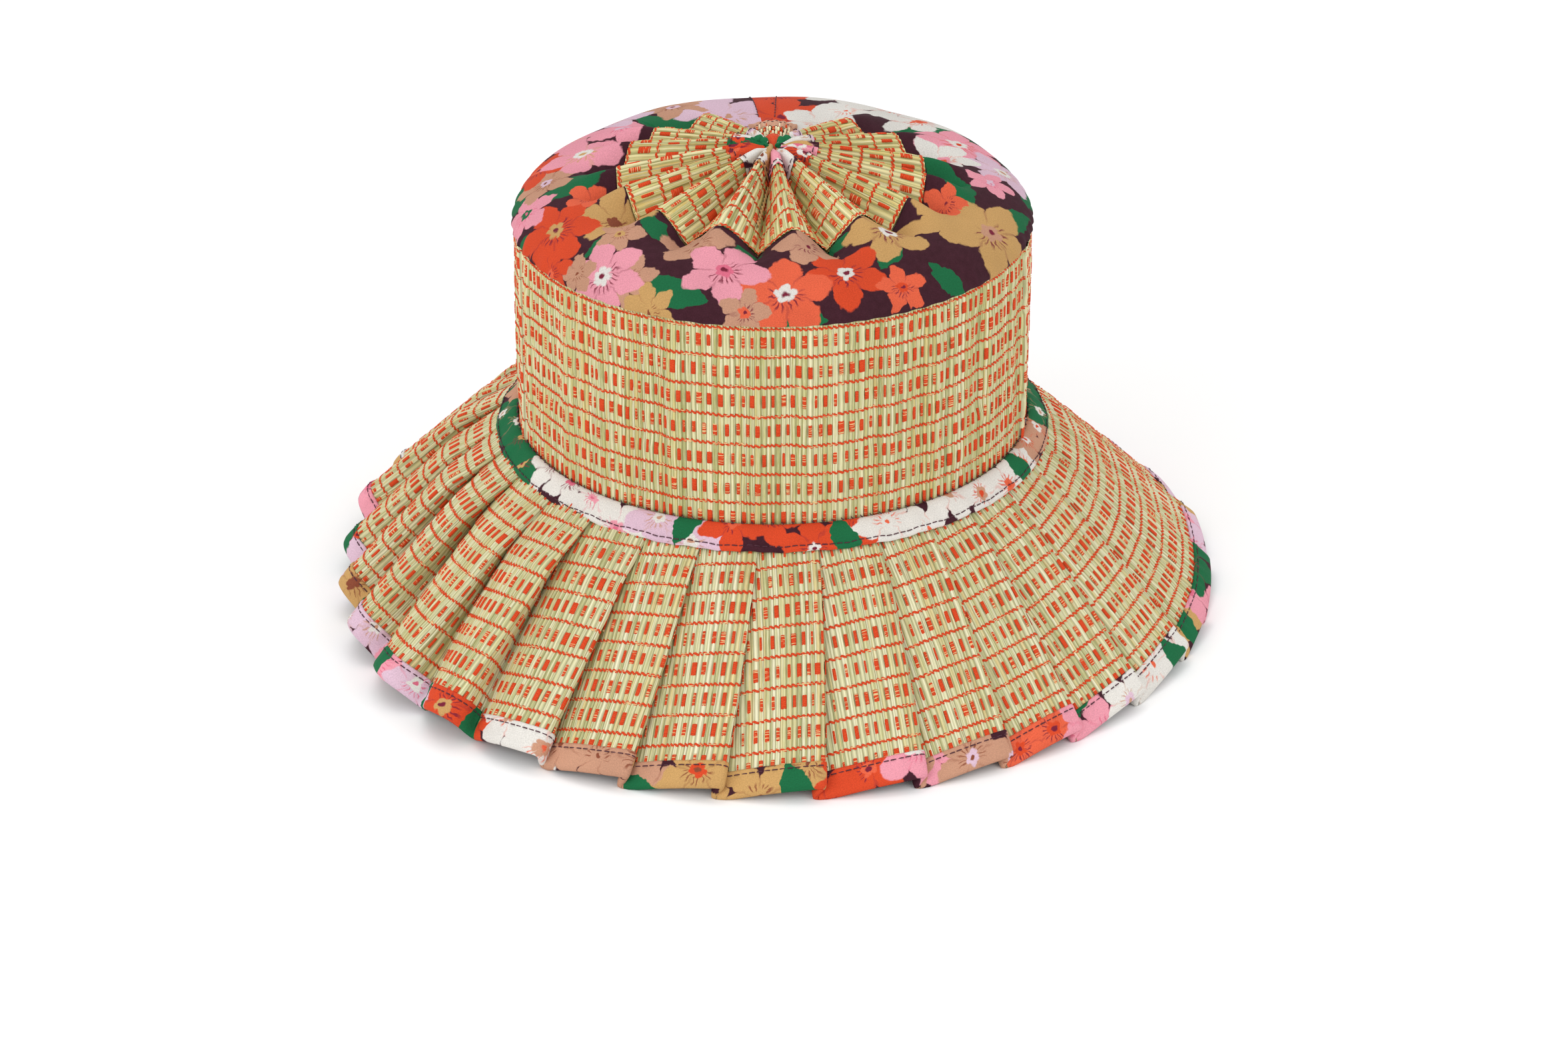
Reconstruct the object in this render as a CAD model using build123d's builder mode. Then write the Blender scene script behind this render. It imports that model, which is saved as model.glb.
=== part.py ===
"""Pleated straw sun hat.

A round crown with a domed cloth shoulder, a pleated straw fan that closes the top, and a wide
knife-pleated straw brim that slopes down and out. The hat stands on its brim's edge: the origin is
on the floor under the crown's axis, and +Z is up. Millimetres.
"""

import os
from math import cos, hypot, radians, sin, tan

from build123d import *

os.makedirs("parts", exist_ok=True)

# Driving dimensions
head_radius = 92.3  # inside of the sweatband, for a 580 mm head
band_cloth = 1.0  # doubled sweatband cloth
mat = 1.6  # woven straw
cloth = 0.6  # printed cotton, folded double
thread = 0.45
crown_base = 70.0  # height of the crown's lower edge above the floor
side_height = 79.0
fan_radius = 56.0
shoulder_mid = (80.5, 161.3)  # radius and height of the shoulder's middle
shoulder_inner_height = 167.5
brim_radius = 168.0
brim_pleats = 30
brim_step = 0.018  # each fold stands this share of its radius above the next panel
fold_share = 0.94  # share of a pleat taken by its panel, the rest is the step down
fan_pleats = 17
weft_pitch = 11.3  # from one twined thread line to the next
tape_width = 4.4
gap = 0.05  # between threads and the curved face that they lie on

# Derived sizes
crown_radius = head_radius + band_cloth + 0.1 + mat
crown_inner = crown_radius - mat
side_top = crown_base + side_height
seam_depth = 2.0  # the crown's edge goes this far down inside the brim's mouth
hem_height = 1.0  # cloth under the brim's cut edge


def part_done(builder, label):
    """Label a finished piece and write it."""
    builder.part.label = label
    export_step(builder.part, f"parts/{label}.step")


# --- Brim ------------------------------------------------------------------------------------

# The pleated cone is given by the radius of its low edges at the floor and at the crown.
brim_low_at_crown = crown_radius + 0.1
brim_run = crown_base  # height that the cone spans
slope_guess = (brim_radius - brim_low_at_crown) / brim_run
lean = hypot(1.0, slope_guess)  # horizontal shift of the cone for each millimetre of thickness
brim_low_at_crown += mat * lean
brim_low_at_floor = (brim_radius - cloth * lean) / (1 + brim_step)
brim_flare = (brim_low_at_floor - brim_low_at_crown) / brim_run


def brim_low_radius(height):
    """Radius of the pleats' low edges at a height."""
    return brim_low_at_floor - brim_flare * height


def pleated_outline(height, raised):
    """Outline of the brim at a height, with its surface raised by some thickness."""
    low = brim_low_radius(height) + raised * lean
    pitch = 360 / brim_pleats
    corners = []
    for pleat in range(brim_pleats):
        for radius, turn in ((low, 0), (low * (1 + brim_step), fold_share)):
            angle = radians((pleat + turn) * pitch)
            corners.append((radius * cos(angle), radius * sin(angle)))
    with BuildSketch(Plane.XY.offset(height)) as outline:
        with BuildLine():
            Polyline(*corners, close=True)
        make_face()
    return outline.sketch


def pleated_shell(bottom, top, inside, outside):
    """Add a pleated conical shell between two heights and two thicknesses."""
    for raised, mode in ((outside, Mode.ADD), (inside, Mode.SUBTRACT)):
        sections = [pleated_outline(bottom, raised), pleated_outline(top, raised)]
        loft(sections, ruled=True, mode=mode)


with BuildPart() as brim_straw:
    pleated_shell(hem_height, crown_base, -mat, 0)
part_done(brim_straw, "brim_straw")

binding_width = 9.5
binding_top = binding_width / lean
with BuildPart() as brim_binding:
    pleated_shell(0, binding_top, -mat - cloth, cloth)
    add(brim_straw.part, mode=Mode.SUBTRACT)
part_done(brim_binding, "brim_binding")

stitch_from_edge = 1.5
with BuildPart() as brim_binding_stitches:
    level = binding_top - stitch_from_edge / lean
    pleated_shell(level - thread / 2, level + thread / 2, cloth, cloth + thread)
part_done(brim_binding_stitches, "brim_binding_stitches")

# Rows of the brim's weft, counted from the binding up to the base band
brim_rows = 7
first_row = binding_top + 2.5
row_rise = weft_pitch / lean * 0.94
thread_levels = [first_row + row * row_rise for row in range(brim_rows)]
tape_levels = [level + row_rise / 2 for level in thread_levels[:-1]]

thread_pieces = []
for level in thread_levels:
    with BuildPart() as turn:
        pleated_shell(level - thread / 2, level + thread / 2, 0, thread)
    thread_pieces.append(turn.part)
with BuildPart() as brim_weft_threads:
    add(thread_pieces)
part_done(brim_weft_threads, "brim_weft_threads")

tape_proud = 0.15
tape_pieces = []
for level in tape_levels:
    half = tape_width / lean / 2
    with BuildPart() as turn:
        pleated_shell(level - half, level + half, 0, tape_proud)
    tape_pieces.append(turn.part)
with BuildPart() as brim_weft_tapes:
    add(tape_pieces)
part_done(brim_weft_tapes, "brim_weft_tapes")

# --- Band over the join of crown and brim ------------------------------------------------------

band_lift = 0.3  # above the brim's folds
fold_at_crown = brim_low_at_crown * (1 + brim_step) + band_lift
band_reach = 7.2  # down the brim, in height
band_under = [
    (crown_radius + gap, crown_base + 2.6),
    (fold_at_crown, crown_base + band_lift),
    (fold_at_crown + band_reach * brim_flare, crown_base + band_lift - band_reach),
]
with BuildPart() as base_band:
    with BuildSketch(Plane.XZ):
        with BuildLine():
            Polyline(*band_under)
            offset(amount=cloth, side=Side.LEFT)
        make_face()
    revolve(axis=Axis.Z)
part_done(base_band, "base_band")

with BuildPart() as base_band_stitches:
    edge_radius, edge_height = band_under[-1]
    along = stitch_from_edge / lean
    ring_radius = edge_radius - along * brim_flare + (cloth + thread / 2 + gap) / lean * 1.02
    ring_height = edge_height + along + (cloth + thread / 2 + gap) / lean * 1.02
    with Locations((0, 0, ring_height)):
        Torus(ring_radius, thread / 2)
part_done(base_band_stitches, "base_band_stitches")

# --- Crown side --------------------------------------------------------------------------------


def band_ring(radius, thickness, bottom, height):
    """Add an upright ring with the given inner radius."""
    with BuildSketch(Plane.XY.offset(bottom)) as ring:
        Circle(radius + thickness)
        Circle(radius, mode=Mode.SUBTRACT)
    extrude(ring.sketch, amount=height)


with BuildPart() as crown_side_straw:
    band_ring(crown_inner, mat, crown_base - seam_depth, side_height + seam_depth)
part_done(crown_side_straw, "crown_side_straw")

side_rows = 7
lowest_thread = crown_base + 9.2
side_thread_levels = [lowest_thread + row * weft_pitch for row in range(side_rows)]
with BuildPart() as crown_weft_threads:
    for level in side_thread_levels:
        band_ring(crown_radius + gap, thread, level - thread / 2, thread)
part_done(crown_weft_threads, "crown_weft_threads")

with BuildPart() as crown_weft_tapes:
    for level in side_thread_levels[1:]:
        bottom = level - (weft_pitch + tape_width) / 2
        band_ring(crown_radius + gap, tape_proud, bottom, tape_width)
part_done(crown_weft_tapes, "crown_weft_tapes")

whip_stitches = 96
whip_height = 2.2
with BuildPart() as crown_whip_stitches:
    with PolarLocations(crown_radius + gap + thread / 2, whip_stitches):
        with Locations((0, 0, crown_base + 4.8)):
            Box(thread, thread, whip_height, rotation=(20, 0, 0))
part_done(crown_whip_stitches, "crown_whip_stitches")

# --- Sweatband inside the head opening ----------------------------------------------------------

sweatband_height = 28.0
sweatband_bottom = crown_base - 1.0
with BuildPart() as sweatband:
    band_ring(head_radius, band_cloth, sweatband_bottom, sweatband_height)
part_done(sweatband, "sweatband")

pressed_thread = 0.3  # the stitches lie flat against the head
with BuildPart() as sweatband_stitches:
    stitch_radius = head_radius - pressed_thread - gap
    band_ring(stitch_radius, pressed_thread, sweatband_bottom + 2 * stitch_from_edge, thread)
part_done(sweatband_stitches, "sweatband_stitches")

# --- Cloth shoulder -----------------------------------------------------------------------------

shoulder_inner_radius = fan_radius / cos(radians(180 / fan_pleats)) + 0.4
shoulder_ends = ((crown_radius - cloth, side_top), (shoulder_inner_radius, shoulder_inner_height))


def shoulder_profile(raised, thickness, plane):
    """Section through the shoulder's skin, raised above the cloth's underside."""
    with BuildSketch(plane) as section:
        with BuildLine():
            outer, inner = shoulder_ends
            middle = (shoulder_mid[0] + raised * 0.45, shoulder_mid[1] + raised * 0.89)
            ThreePointArc((outer[0] + raised, outer[1]), middle, (inner[0], inner[1] + raised))
            offset(amount=thickness, side=Side.RIGHT)
        make_face()
    return section.sketch


hem_depth = 8.0
with BuildPart() as shoulder_cloth:
    revolve(shoulder_profile(0, cloth, Plane.XZ), axis=Axis.Z)
    band_ring(shoulder_inner_radius, cloth, shoulder_inner_height - hem_depth, hem_depth + cloth)
part_done(shoulder_cloth, "shoulder_cloth")

seam_turns = (88.0, 94.0)  # stitch line and back seam, degrees around the crown
seam_width = 0.4  # degrees
with BuildPart() as shoulder_seam_stitches:
    for turn in seam_turns:
        seam_plane = Plane.XZ.rotated((0, 0, turn))
        section = shoulder_profile(cloth + 3 * gap, thread, seam_plane)
        revolve(section, axis=Axis.Z, revolution_arc=seam_width)
part_done(shoulder_seam_stitches, "shoulder_seam_stitches")

# --- Straw fan of the crown's top ----------------------------------------------------------------

half_pleat = radians(180 / fan_pleats)
fan_inner = 11.0
# Ridge and valley heights, and the mat's upright depth, at the fan's inner and outer radius
fan_ridge = {fan_inner: 176.6, fan_radius: 170.5}
fan_valley = {fan_inner: 167.0, fan_radius: 159.5}
fan_depth = {fan_inner: 4.0, fan_radius: 2.4}
# The fan is not a full circle: its two cut ends leave a sector at the back for the join
join_pleats = 3
join_angle = 360 / fan_pleats * join_pleats
back = 90.0  # direction of the join
fan_start = back + join_angle / 2 + 180 / fan_pleats
straw_pleats = fan_pleats - join_pleats


def along_fan(values, radius):
    """Value at a radius, on the straight line through the two given ones."""
    share = (radius - fan_inner) / (fan_radius - fan_inner)
    return values[fan_inner] + share * (values[fan_radius] - values[fan_inner])


def chevron(radius, raised, depth):
    """Section of one pleat, across it, at a radius."""
    half = radius * tan(half_pleat)
    ridge = along_fan(fan_ridge, radius) + raised
    valley = along_fan(fan_valley, radius) + raised
    top = [(-half, valley), (0, ridge), (half, valley)]
    under = [(half, valley - depth), (0, ridge - depth), (-half, valley - depth)]
    with BuildSketch(Plane.YZ.offset(radius)) as section:
        with BuildLine():
            Polyline(*top, *under, close=True)
        make_face()
    return section.sketch


def pleat_ring(inner, outer, raised, inner_depth, outer_depth):
    """The fan's pleats between two radii, side by side around the axis."""
    with BuildPart() as pleat:
        loft([chevron(inner, raised, inner_depth), chevron(outer, raised, outer_depth)], ruled=True)
    with BuildPart() as ring:
        with PolarLocations(0, straw_pleats, fan_start, 360 - join_angle - 360 / fan_pleats, endpoint=True):
            add(pleat.part)
    return ring.part


with BuildPart() as crown_top_fan:
    add(pleat_ring(fan_inner, fan_radius, 0, fan_depth[fan_inner], fan_depth[fan_radius]))
part_done(crown_top_fan, "crown_top_fan")

fan_rows = [fan_radius - 1.0 - row * weft_pitch for row in range(4)]
with BuildPart() as fan_weft_threads:
    for radius in fan_rows:
        rise = thread + gap
        add(pleat_ring(radius - thread / 2, radius + thread / 2, rise, thread, thread))
part_done(fan_weft_threads, "fan_weft_threads")

with BuildPart() as fan_weft_tapes:
    for radius in fan_rows[:-1]:
        middle = radius - weft_pitch / 2
        rise = tape_proud + gap
        half = tape_width / 2
        add(pleat_ring(middle - half, middle + half, rise, tape_proud, tape_proud))
part_done(fan_weft_tapes, "fan_weft_tapes")

binding_inner = 4.0
binding_outer = 17.0
with BuildPart() as fan_centre_binding:
    inner_depth = along_fan(fan_depth, binding_inner) + 2 * cloth
    outer_depth = along_fan(fan_depth, binding_outer) + 2 * cloth
    add(pleat_ring(binding_inner, binding_outer, cloth, inner_depth, outer_depth))
    add(crown_top_fan.part, mode=Mode.SUBTRACT)
part_done(fan_centre_binding, "fan_centre_binding")

with BuildPart() as fan_binding_stitches:
    radius = binding_outer - stitch_from_edge
    rise = cloth + thread + gap
    add(pleat_ring(radius - thread / 2, radius + thread / 2, rise, thread, thread))
part_done(fan_binding_stitches, "fan_binding_stitches")

draw_turns = 3
with BuildPart() as centre_draw_thread:
    draw_radius = binding_inner - thread - gap
    bottom_turn = along_fan(fan_valley, binding_inner)
    with Locations(*[(0, 0, bottom_turn + turn * 2 * thread) for turn in range(draw_turns)]):
        Torus(draw_radius, thread * 0.45)
part_done(centre_draw_thread, "centre_draw_thread")

# --- Join of the fan's two ends, behind the centre -------------------------------------------------

join_front = 12.0  # from the axis to the mouth of the gathered cover
join_back = 47.0
cover_cloth = 1.2  # two layers
# Foot and top of the vaulted cover at its mouth and near the shoulder
cover_foot = {join_front: 168.5, join_back: 162.0}
cover_top = {join_front: 178.0, join_back: 170.0}


def vault(distance, shrink):
    """Arched section of the cover, across it, at a distance behind the axis."""
    half = distance * tan(radians(join_angle / 2)) - 0.4 - shrink
    foot = cover_foot[distance]
    with BuildSketch(Plane.XZ.offset(-distance)) as section:
        with BuildLine():
            ThreePointArc((-half, foot), (0, cover_top[distance] - shrink), (half, foot))
            Line((half, foot), (-half, foot))
        make_face()
    return section.sketch


with BuildPart() as join_cover:
    for shrink, mode in ((0, Mode.ADD), (cover_cloth, Mode.SUBTRACT)):
        loft([vault(distance, shrink) for distance in cover_foot], ruled=True, mode=mode)
part_done(join_cover, "join_cover")

ends_length = 3.0
ends_half = 4.2
ends_height = 6.4
with BuildPart() as fan_join_ends:
    with BuildSketch(Plane.XZ.offset(-join_front - 1.0)):
        with BuildLine():
            foot = cover_foot[join_front]
            ThreePointArc((-ends_half, foot), (0, foot + ends_height), (ends_half, foot))
            Line((ends_half, foot), (-ends_half, foot))
        make_face()
    extrude(amount=-ends_length)
part_done(fan_join_ends, "fan_join_ends")
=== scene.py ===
"""Looks of a pleated straw sun hat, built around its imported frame.

Shapes are worked out in millimetres, in the frame's own axes, and stored in metres. Directions round
the hat are degrees in the tables and radians in the functions: 0 is +X, 90 degrees is the back and
270 the front.
"""

import math

import bpy
import numpy as np
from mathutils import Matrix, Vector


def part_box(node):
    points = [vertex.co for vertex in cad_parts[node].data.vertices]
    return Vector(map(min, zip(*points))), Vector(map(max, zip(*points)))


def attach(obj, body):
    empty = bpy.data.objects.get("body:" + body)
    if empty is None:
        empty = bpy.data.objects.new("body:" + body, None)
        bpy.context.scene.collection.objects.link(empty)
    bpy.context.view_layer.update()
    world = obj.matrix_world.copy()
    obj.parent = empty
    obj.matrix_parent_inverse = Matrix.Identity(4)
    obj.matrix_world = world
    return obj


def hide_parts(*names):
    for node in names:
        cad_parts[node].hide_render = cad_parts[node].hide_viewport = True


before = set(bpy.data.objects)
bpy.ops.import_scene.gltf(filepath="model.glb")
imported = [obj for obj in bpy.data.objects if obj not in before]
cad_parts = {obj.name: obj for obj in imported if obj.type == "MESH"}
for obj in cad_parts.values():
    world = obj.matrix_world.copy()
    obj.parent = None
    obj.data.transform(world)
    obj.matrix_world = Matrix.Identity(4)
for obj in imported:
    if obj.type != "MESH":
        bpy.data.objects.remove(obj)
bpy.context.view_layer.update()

MM = 0.001
TURN = 2 * math.pi


def box_mm(node):
    """Lowest and highest corners of a CAD node, in millimetres."""
    return [np.array(corner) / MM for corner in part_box(node)]


# --- Sizes, read from the frame ---------------------------------------------------------------

SIDE_LOW, SIDE_HIGH = box_mm("crown_side_straw")
CROWN_RADIUS, SIDE_BOTTOM, SIDE_TOP = SIDE_HIGH[0], SIDE_LOW[2], SIDE_HIGH[2]
CROWN_BASE = SIDE_BOTTOM + 2.0  # where the crown leaves the brim
BRIM_RADIUS = box_mm("brim_binding")[1][0]
FAN_LOW, FAN_HIGH = box_mm("crown_top_fan")
FAN_RADIUS, FAN_VALLEY, CENTRE_TOP = FAN_HIGH[0], FAN_LOW[2] + 2.4, FAN_HIGH[2]
SWEATBAND_LOW, SWEATBAND_HIGH = box_mm("sweatband")

# Weave, shared by all three mats
BUNDLE = 1.8  # width of one bundle of rushes
FAN_BUNDLE = 2.15
WEFT_PITCH = 11.3  # between twined thread lines
SIDE_PITCH = 11.5  # the same on the crown's side
TAPE = 4.9  # width of the flat weft that shows as bars
STRAW_HALF = 0.6  # half the mat's thickness
ABOVE_FLOOR = 0.02  # the lowest that any cloth lies

rng = np.random.default_rng(7)


# --- Making meshes ----------------------------------------------------------------------------


def fill(items, name, values, kind=np.float32):
    """Set one property of every item in one of a mesh's lists."""
    items.foreach_set(name, np.asarray(values, kind).ravel())


def make_piece(name, points, quads, material, node="", uv=None, tone=None, crest=None, section=None):
    """A mesh from points in millimetres and quads, riding on the hat's one body.

    It stands for a CAD node if one is named. uv has one pair for each corner of each quad, tone one
    value for each quad and crest one for each point. Where material is a list, section has each
    quad's place in it.
    """
    mesh = bpy.data.meshes.new(name)
    points = np.maximum(points.reshape(-1, 3), (-np.inf, -np.inf, ABOVE_FLOOR))
    mesh.vertices.add(len(points))
    fill(mesh.vertices, "co", points * MM)
    mesh.loops.add(quads.size)
    fill(mesh.loops, "vertex_index", quads, np.int32)
    mesh.polygons.add(len(quads))
    fill(mesh.polygons, "loop_start", np.arange(0, quads.size, 4), np.int32)
    mesh.update(calc_edges=True)
    if uv is not None:
        fill(mesh.uv_layers.new(name="cloth").data, "uv", uv)
    for label, domain, values in (("tone", "FACE", tone), ("crest", "POINT", crest)):
        if values is not None:
            fill(mesh.attributes.new(label, "FLOAT", domain).data, "value", values)
    fill(mesh.polygons, "use_smooth", np.ones(len(quads)), bool)
    for each in material if isinstance(material, list) else [material]:
        mesh.materials.append(each)
    if section is not None:
        fill(mesh.polygons, "material_index", section, np.int32)
    piece = bpy.data.objects.new(name, mesh)
    bpy.context.scene.collection.objects.link(piece)
    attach(piece, "root")
    if node:
        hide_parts(node)
    return piece


def grid(first, second):
    """Two grids of values, the first changing from row to row."""
    return np.meshgrid(first, second, indexing="ij")


def grid_quads(columns, rows, closed=False):
    """Quads of a grid of points that are numbered down each column in turn."""
    i, j = grid(np.arange(columns if closed else columns - 1), np.arange(rows - 1))
    here, after = i * rows + j, (i + 1) % columns * rows + j
    return np.stack([here, after, after + 1, here + 1], -1).reshape(-1, 4)


def tube_quads(rings, sides):
    """Quads round a tube whose points are numbered ring by ring."""
    i, j = grid(np.arange(rings - 1) * sides, np.arange(sides))
    after = (j + 1) % sides
    return np.stack([i + j, i + after, i + sides + after, i + sides + j], -1).reshape(-1, 4)


def copies(count, single, points_each):
    """Quads of many small pieces that are all alike."""
    return (np.arange(count)[:, None, None] * points_each + single).reshape(-1, 4)


def grid_uv(u, v):
    """UV of each quad corner for a grid with one more u than it has columns of quads."""
    a, b = grid(u[:-1], v[:-1])
    c, d = grid(u[1:], v[1:])
    corners = [np.stack(pair, -1) for pair in ((a, b), (c, b), (c, d), (a, d))]
    return np.stack(corners, 2).reshape(-1, 2)


def corner_uv(u, v, quads):
    """UV of each quad corner from the u and v of every point."""
    return np.stack([u.ravel()[quads], v.ravel()[quads]], -1).reshape(-1, 2)


def flat_uv(reach, angle, quads):
    """UV of each quad corner on a ring of cloth that is laid out flat."""
    return corner_uv(reach * np.cos(angle), reach * np.sin(angle), quads)


def smoothstep(value):
    """Smooth rise from 0 to 1."""
    value = np.clip(value, 0, 1)
    return value * value * (3 - 2 * value)


def around(count):
    """Directions evenly spaced over one whole turn."""
    return np.arange(count) / count * TURN


def unit(vectors):
    """Vectors of length 1."""
    return vectors / np.maximum(np.linalg.norm(vectors, axis=-1, keepdims=True), 1e-9)


def polar(radius, angle, height):
    """Points at a distance from the hat's axis, in a direction and at a height."""
    return np.stack(np.broadcast_arrays(radius * np.cos(angle), radius * np.sin(angle), height), -1)


def distance_along(*axes):
    """Distance run along a line, at each of its points."""
    return np.concatenate([[0], np.cumsum(np.sqrt(sum(np.diff(axis) ** 2 for axis in axes)))])


def interpolated(places, marks, points):
    """Points at places along a line whose own points are at marks."""
    return np.stack([np.interp(places, marks, axis) for axis in points.T], -1)


def lifted(surface, u, v, lift, outward):
    """Points raised from a surface along its normal, which is on the side that outward says."""
    du, dv = 0.35, 0.5
    normal = np.cross(surface(u + du, v) - surface(u - du, v), surface(u, v + dv) - surface(u, v - dv))
    return surface(u, v) + outward * unit(normal) * np.asarray(lift)[..., None]


# --- Woven rush mats --------------------------------------------------------------------------


class Mat:
    """A woven rush mat: stalks along v, side by side along u, on a surface given by (u, v)."""

    def __init__(self, surface, length, span, thread_rows, tape_rows, outward, closed=True, bundle=BUNDLE):
        self.surface, self.length, self.span = surface, length, span
        self.outward, self.closed = outward, closed
        self.thread_rows, self.tape_rows = thread_rows, tape_rows
        self.count = int(round(length / bundle / 2)) * 2
        edges = np.concatenate([[0.0], np.cumsum(rng.uniform(0.7, 1.3, self.count))])
        self.edges = edges * (length / edges[-1])

    def stalk_columns(self):
        """u, height, bundle and crest of each column of points: a valley, then a crest, per stalk."""
        columns = []
        for number, (low, high) in enumerate(zip(self.edges[:-1], self.edges[1:])):
            parts = rng.integers(1, 4)
            marks = np.concatenate([[0.0], np.sort(rng.uniform(0.25, 0.75, parts - 1)), [1.0]])
            for part in range(parts):
                start = low + (high - low) * marks[part]
                middle = low + (high - low) * (marks[part] + marks[part + 1]) / 2
                # shade is the value stored as crest: the lower it is, the more painted shade the straw gets
                # here
                valley, shade = (0.02, 0.45) if part else (-0.2, 0.0)
                columns += [(start, valley, number, shade), (middle, rng.uniform(0.13, 0.3), number, 1.0)]
        return np.array(columns).T

    def weave_height(self, bundle, v):
        """How far a bundle rises or dips at v where it passes the wefts."""
        height = np.zeros(np.broadcast(bundle, v).shape)
        for row, place in enumerate(self.tape_rows):
            height += np.where((bundle + row) % 2 == 0, -0.25, 0.12) * np.exp(-(((v - place) / 2.2) ** 4))
        for place in self.thread_rows:
            height -= 0.2 * np.exp(-(((v - place) / 0.9) ** 2))
        return height

    def face(self, name, u, v, points, crest, material, node="", under=False):
        """One of the mat's faces, with a tone for each ridge."""
        quads = grid_quads(len(u), len(v), self.closed)
        ends = np.append(u, self.length) if self.closed else u
        uv = grid_uv(ends, v)
        if under:
            quads, uv = quads[:, ::-1], uv.reshape(-1, 4, 2)[:, ::-1]
        columns = len(ends) - 1
        tone = np.repeat(rng.uniform(0, 1, columns // 2 + 1), 2)[:columns]
        tone, crest = np.repeat(tone, len(v) - 1), np.repeat(crest, len(v))
        return make_piece(name, points, quads, material, node, uv, tone, crest)

    def stalks(self, name, material, node):
        """The mat's upper face, every stalk a rounded ridge."""
        u, height, bundle, crest = self.stalk_columns()
        beside = 2.6  # from a flat weft's middle to just past its edge
        wefts = [self.thread_rows, self.tape_rows, self.tape_rows - beside, self.tape_rows + beside]
        v = np.unique(np.clip(np.concatenate([[0.0, self.span], *wefts]), 0.0, self.span).round(3))
        grid_u, grid_v = grid(u, v)
        sway = 0.12 * np.sin(grid_v * 0.11 + bundle[:, None] * 1.7)
        rise = height[:, None] + self.weave_height(bundle[:, None], grid_v) + STRAW_HALF
        points = lifted(self.surface, grid_u + sway, grid_v, rise, self.outward)
        return self.face(name, u, v, points, crest, material, node)

    def underside(self, name, material):
        """The mat's lower face, with one ridge for each bundle."""
        u = np.stack([self.edges[:-1], (self.edges[:-1] + self.edges[1:]) / 2], 1).ravel()
        height = np.tile([0.2, -0.15], self.count) - STRAW_HALF
        v = np.linspace(0.0, self.span, 2 * len(self.thread_rows) + 1)
        points = lifted(self.surface, *grid(u, v), height[:, None] + 0 * v, self.outward)
        # Crest values: 0.2 paints shade in each valley between bundles, 1.0 leaves the ridge unshaded
        return self.face(name, u, v, points, np.tile([0.2, 1.0], self.count), material, under=True)

    def wefts(self, name, u, v, rise, tones, node, side):
        """Pieces of weft, each a small grid of points, over the mat or under it."""
        u, v = np.broadcast_arrays(u, v)
        points = lifted(self.surface, u, v, side * (rise + STRAW_HALF), self.outward)
        single = grid_quads(*u.shape[1:])[:, ::side]
        quads = copies(len(u), single, u[0].size)
        tone = np.repeat(tones, len(single))
        make_piece(name, points, quads, WEFT_COTTON, node, corner_uv(u, v, quads), tone)

    def bars(self, name, node="", fullness=None, side=1, down_to=math.inf):
        """Each place where a flat weft passes over a bundle, or under it where side is -1."""
        across, along = np.array([-0.5, -0.36, 0.36, 0.5]), np.array([-0.5, -0.44, 0.44, 0.5])
        rise = 0.42 - np.array([0.45, 0, 0, 0.45])[:, None] - np.array([0.5, 0, 0, 0.5])
        all_u, all_v, tones = [], [], []
        for row, place in enumerate(self.tape_rows[self.tape_rows + TAPE / 2 < down_to]):
            bundles = np.arange((row + (side < 0)) % 2, self.count, 2)
            width = np.diff(self.edges)[bundles]
            middle = self.edges[bundles] + width / 2
            tall = TAPE * rng.uniform(0.9, 1.06, len(bundles))
            shift = rng.uniform(-0.25, 0.25, len(bundles))
            width = width * rng.uniform(0.55, 0.98, len(bundles))
            if fullness is not None:
                width = width * fullness(middle, place)
            all_u.append(middle[:, None, None] + width[:, None, None] * across[:, None] + 0 * along)
            all_v.append(place + shift[:, None, None] + tall[:, None, None] * along)
            tones.append(rng.uniform(0, 1, len(bundles)))
        u, v, tones = (np.concatenate(rows) for rows in (all_u, all_v, tones))
        self.wefts(name, u, v, rise, tones, node, side)

    def threads(self, name, node="", side=1, down_to=math.inf):
        """The twined thread lines: one short slanting turn over each bundle."""
        share, slant = np.array([[0.0], [0.3], [0.7], [1.0]]), np.array([[-0.38], [-0.28], [0.28], [0.38]])
        body, top = np.array([[0.3], [0.5], [0.5], [0.3]]), np.array([[0.0], [0.38], [0.38], [0.0]])
        spread = np.array([-1.0, 0.0, 1.0])
        overlap = 0.12
        rows = self.thread_rows[self.thread_rows < down_to][:, None]
        start, end = self.edges[:-1] - overlap, self.edges[1:] + overlap
        start, end = (np.tile(marks, len(rows))[:, None, None] for marks in (start, end))
        middle = (rows + 0.25 * np.sin(self.edges[:-1] * 0.05 + rows)).reshape(-1, 1, 1)
        u, v = start * (1 - share) + end * share, middle + slant + body * spread
        self.wefts(name, u, v, top - 0.3 * np.abs(spread), rng.uniform(0, 1, len(u)), node, side)


# --- Brim: knife pleats on a cone -------------------------------------------------------------

BRIM_PLEATS = 30
PLEAT_CLOTH = 45.0  # mat taken up by each pleat
BRIM_LENGTH = BRIM_PLEATS * PLEAT_CLOTH
BRIM_INNER_RADIUS, BRIM_OUTER_RADIUS = CROWN_RADIUS + 1.6, BRIM_RADIUS - 4.2
BRIM_TOP, BRIM_BOTTOM = CROWN_BASE - 1.9, 2.9
BRIM_RUN, BRIM_DROP = BRIM_OUTER_RADIUS - BRIM_INNER_RADIUS, BRIM_TOP - BRIM_BOTTOM
BRIM_SPAN = math.hypot(BRIM_RUN, BRIM_DROP)
FOLD_START = 276.0  # direction of one fold's outer end
FOLD_SLANT = math.radians(3.5)  # the folds' inner ends are this much further round
BRIM_SUNK = 1.2  # the cone lies this far under the pleats' mean height
LEFT, LEFT_BACK = math.radians(184), math.radians(162)

pleat_shift = rng.uniform(-1.1, 1.1, BRIM_PLEATS)  # degrees
pleat_height = rng.uniform(0.85, 1.2, BRIM_PLEATS)


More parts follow.
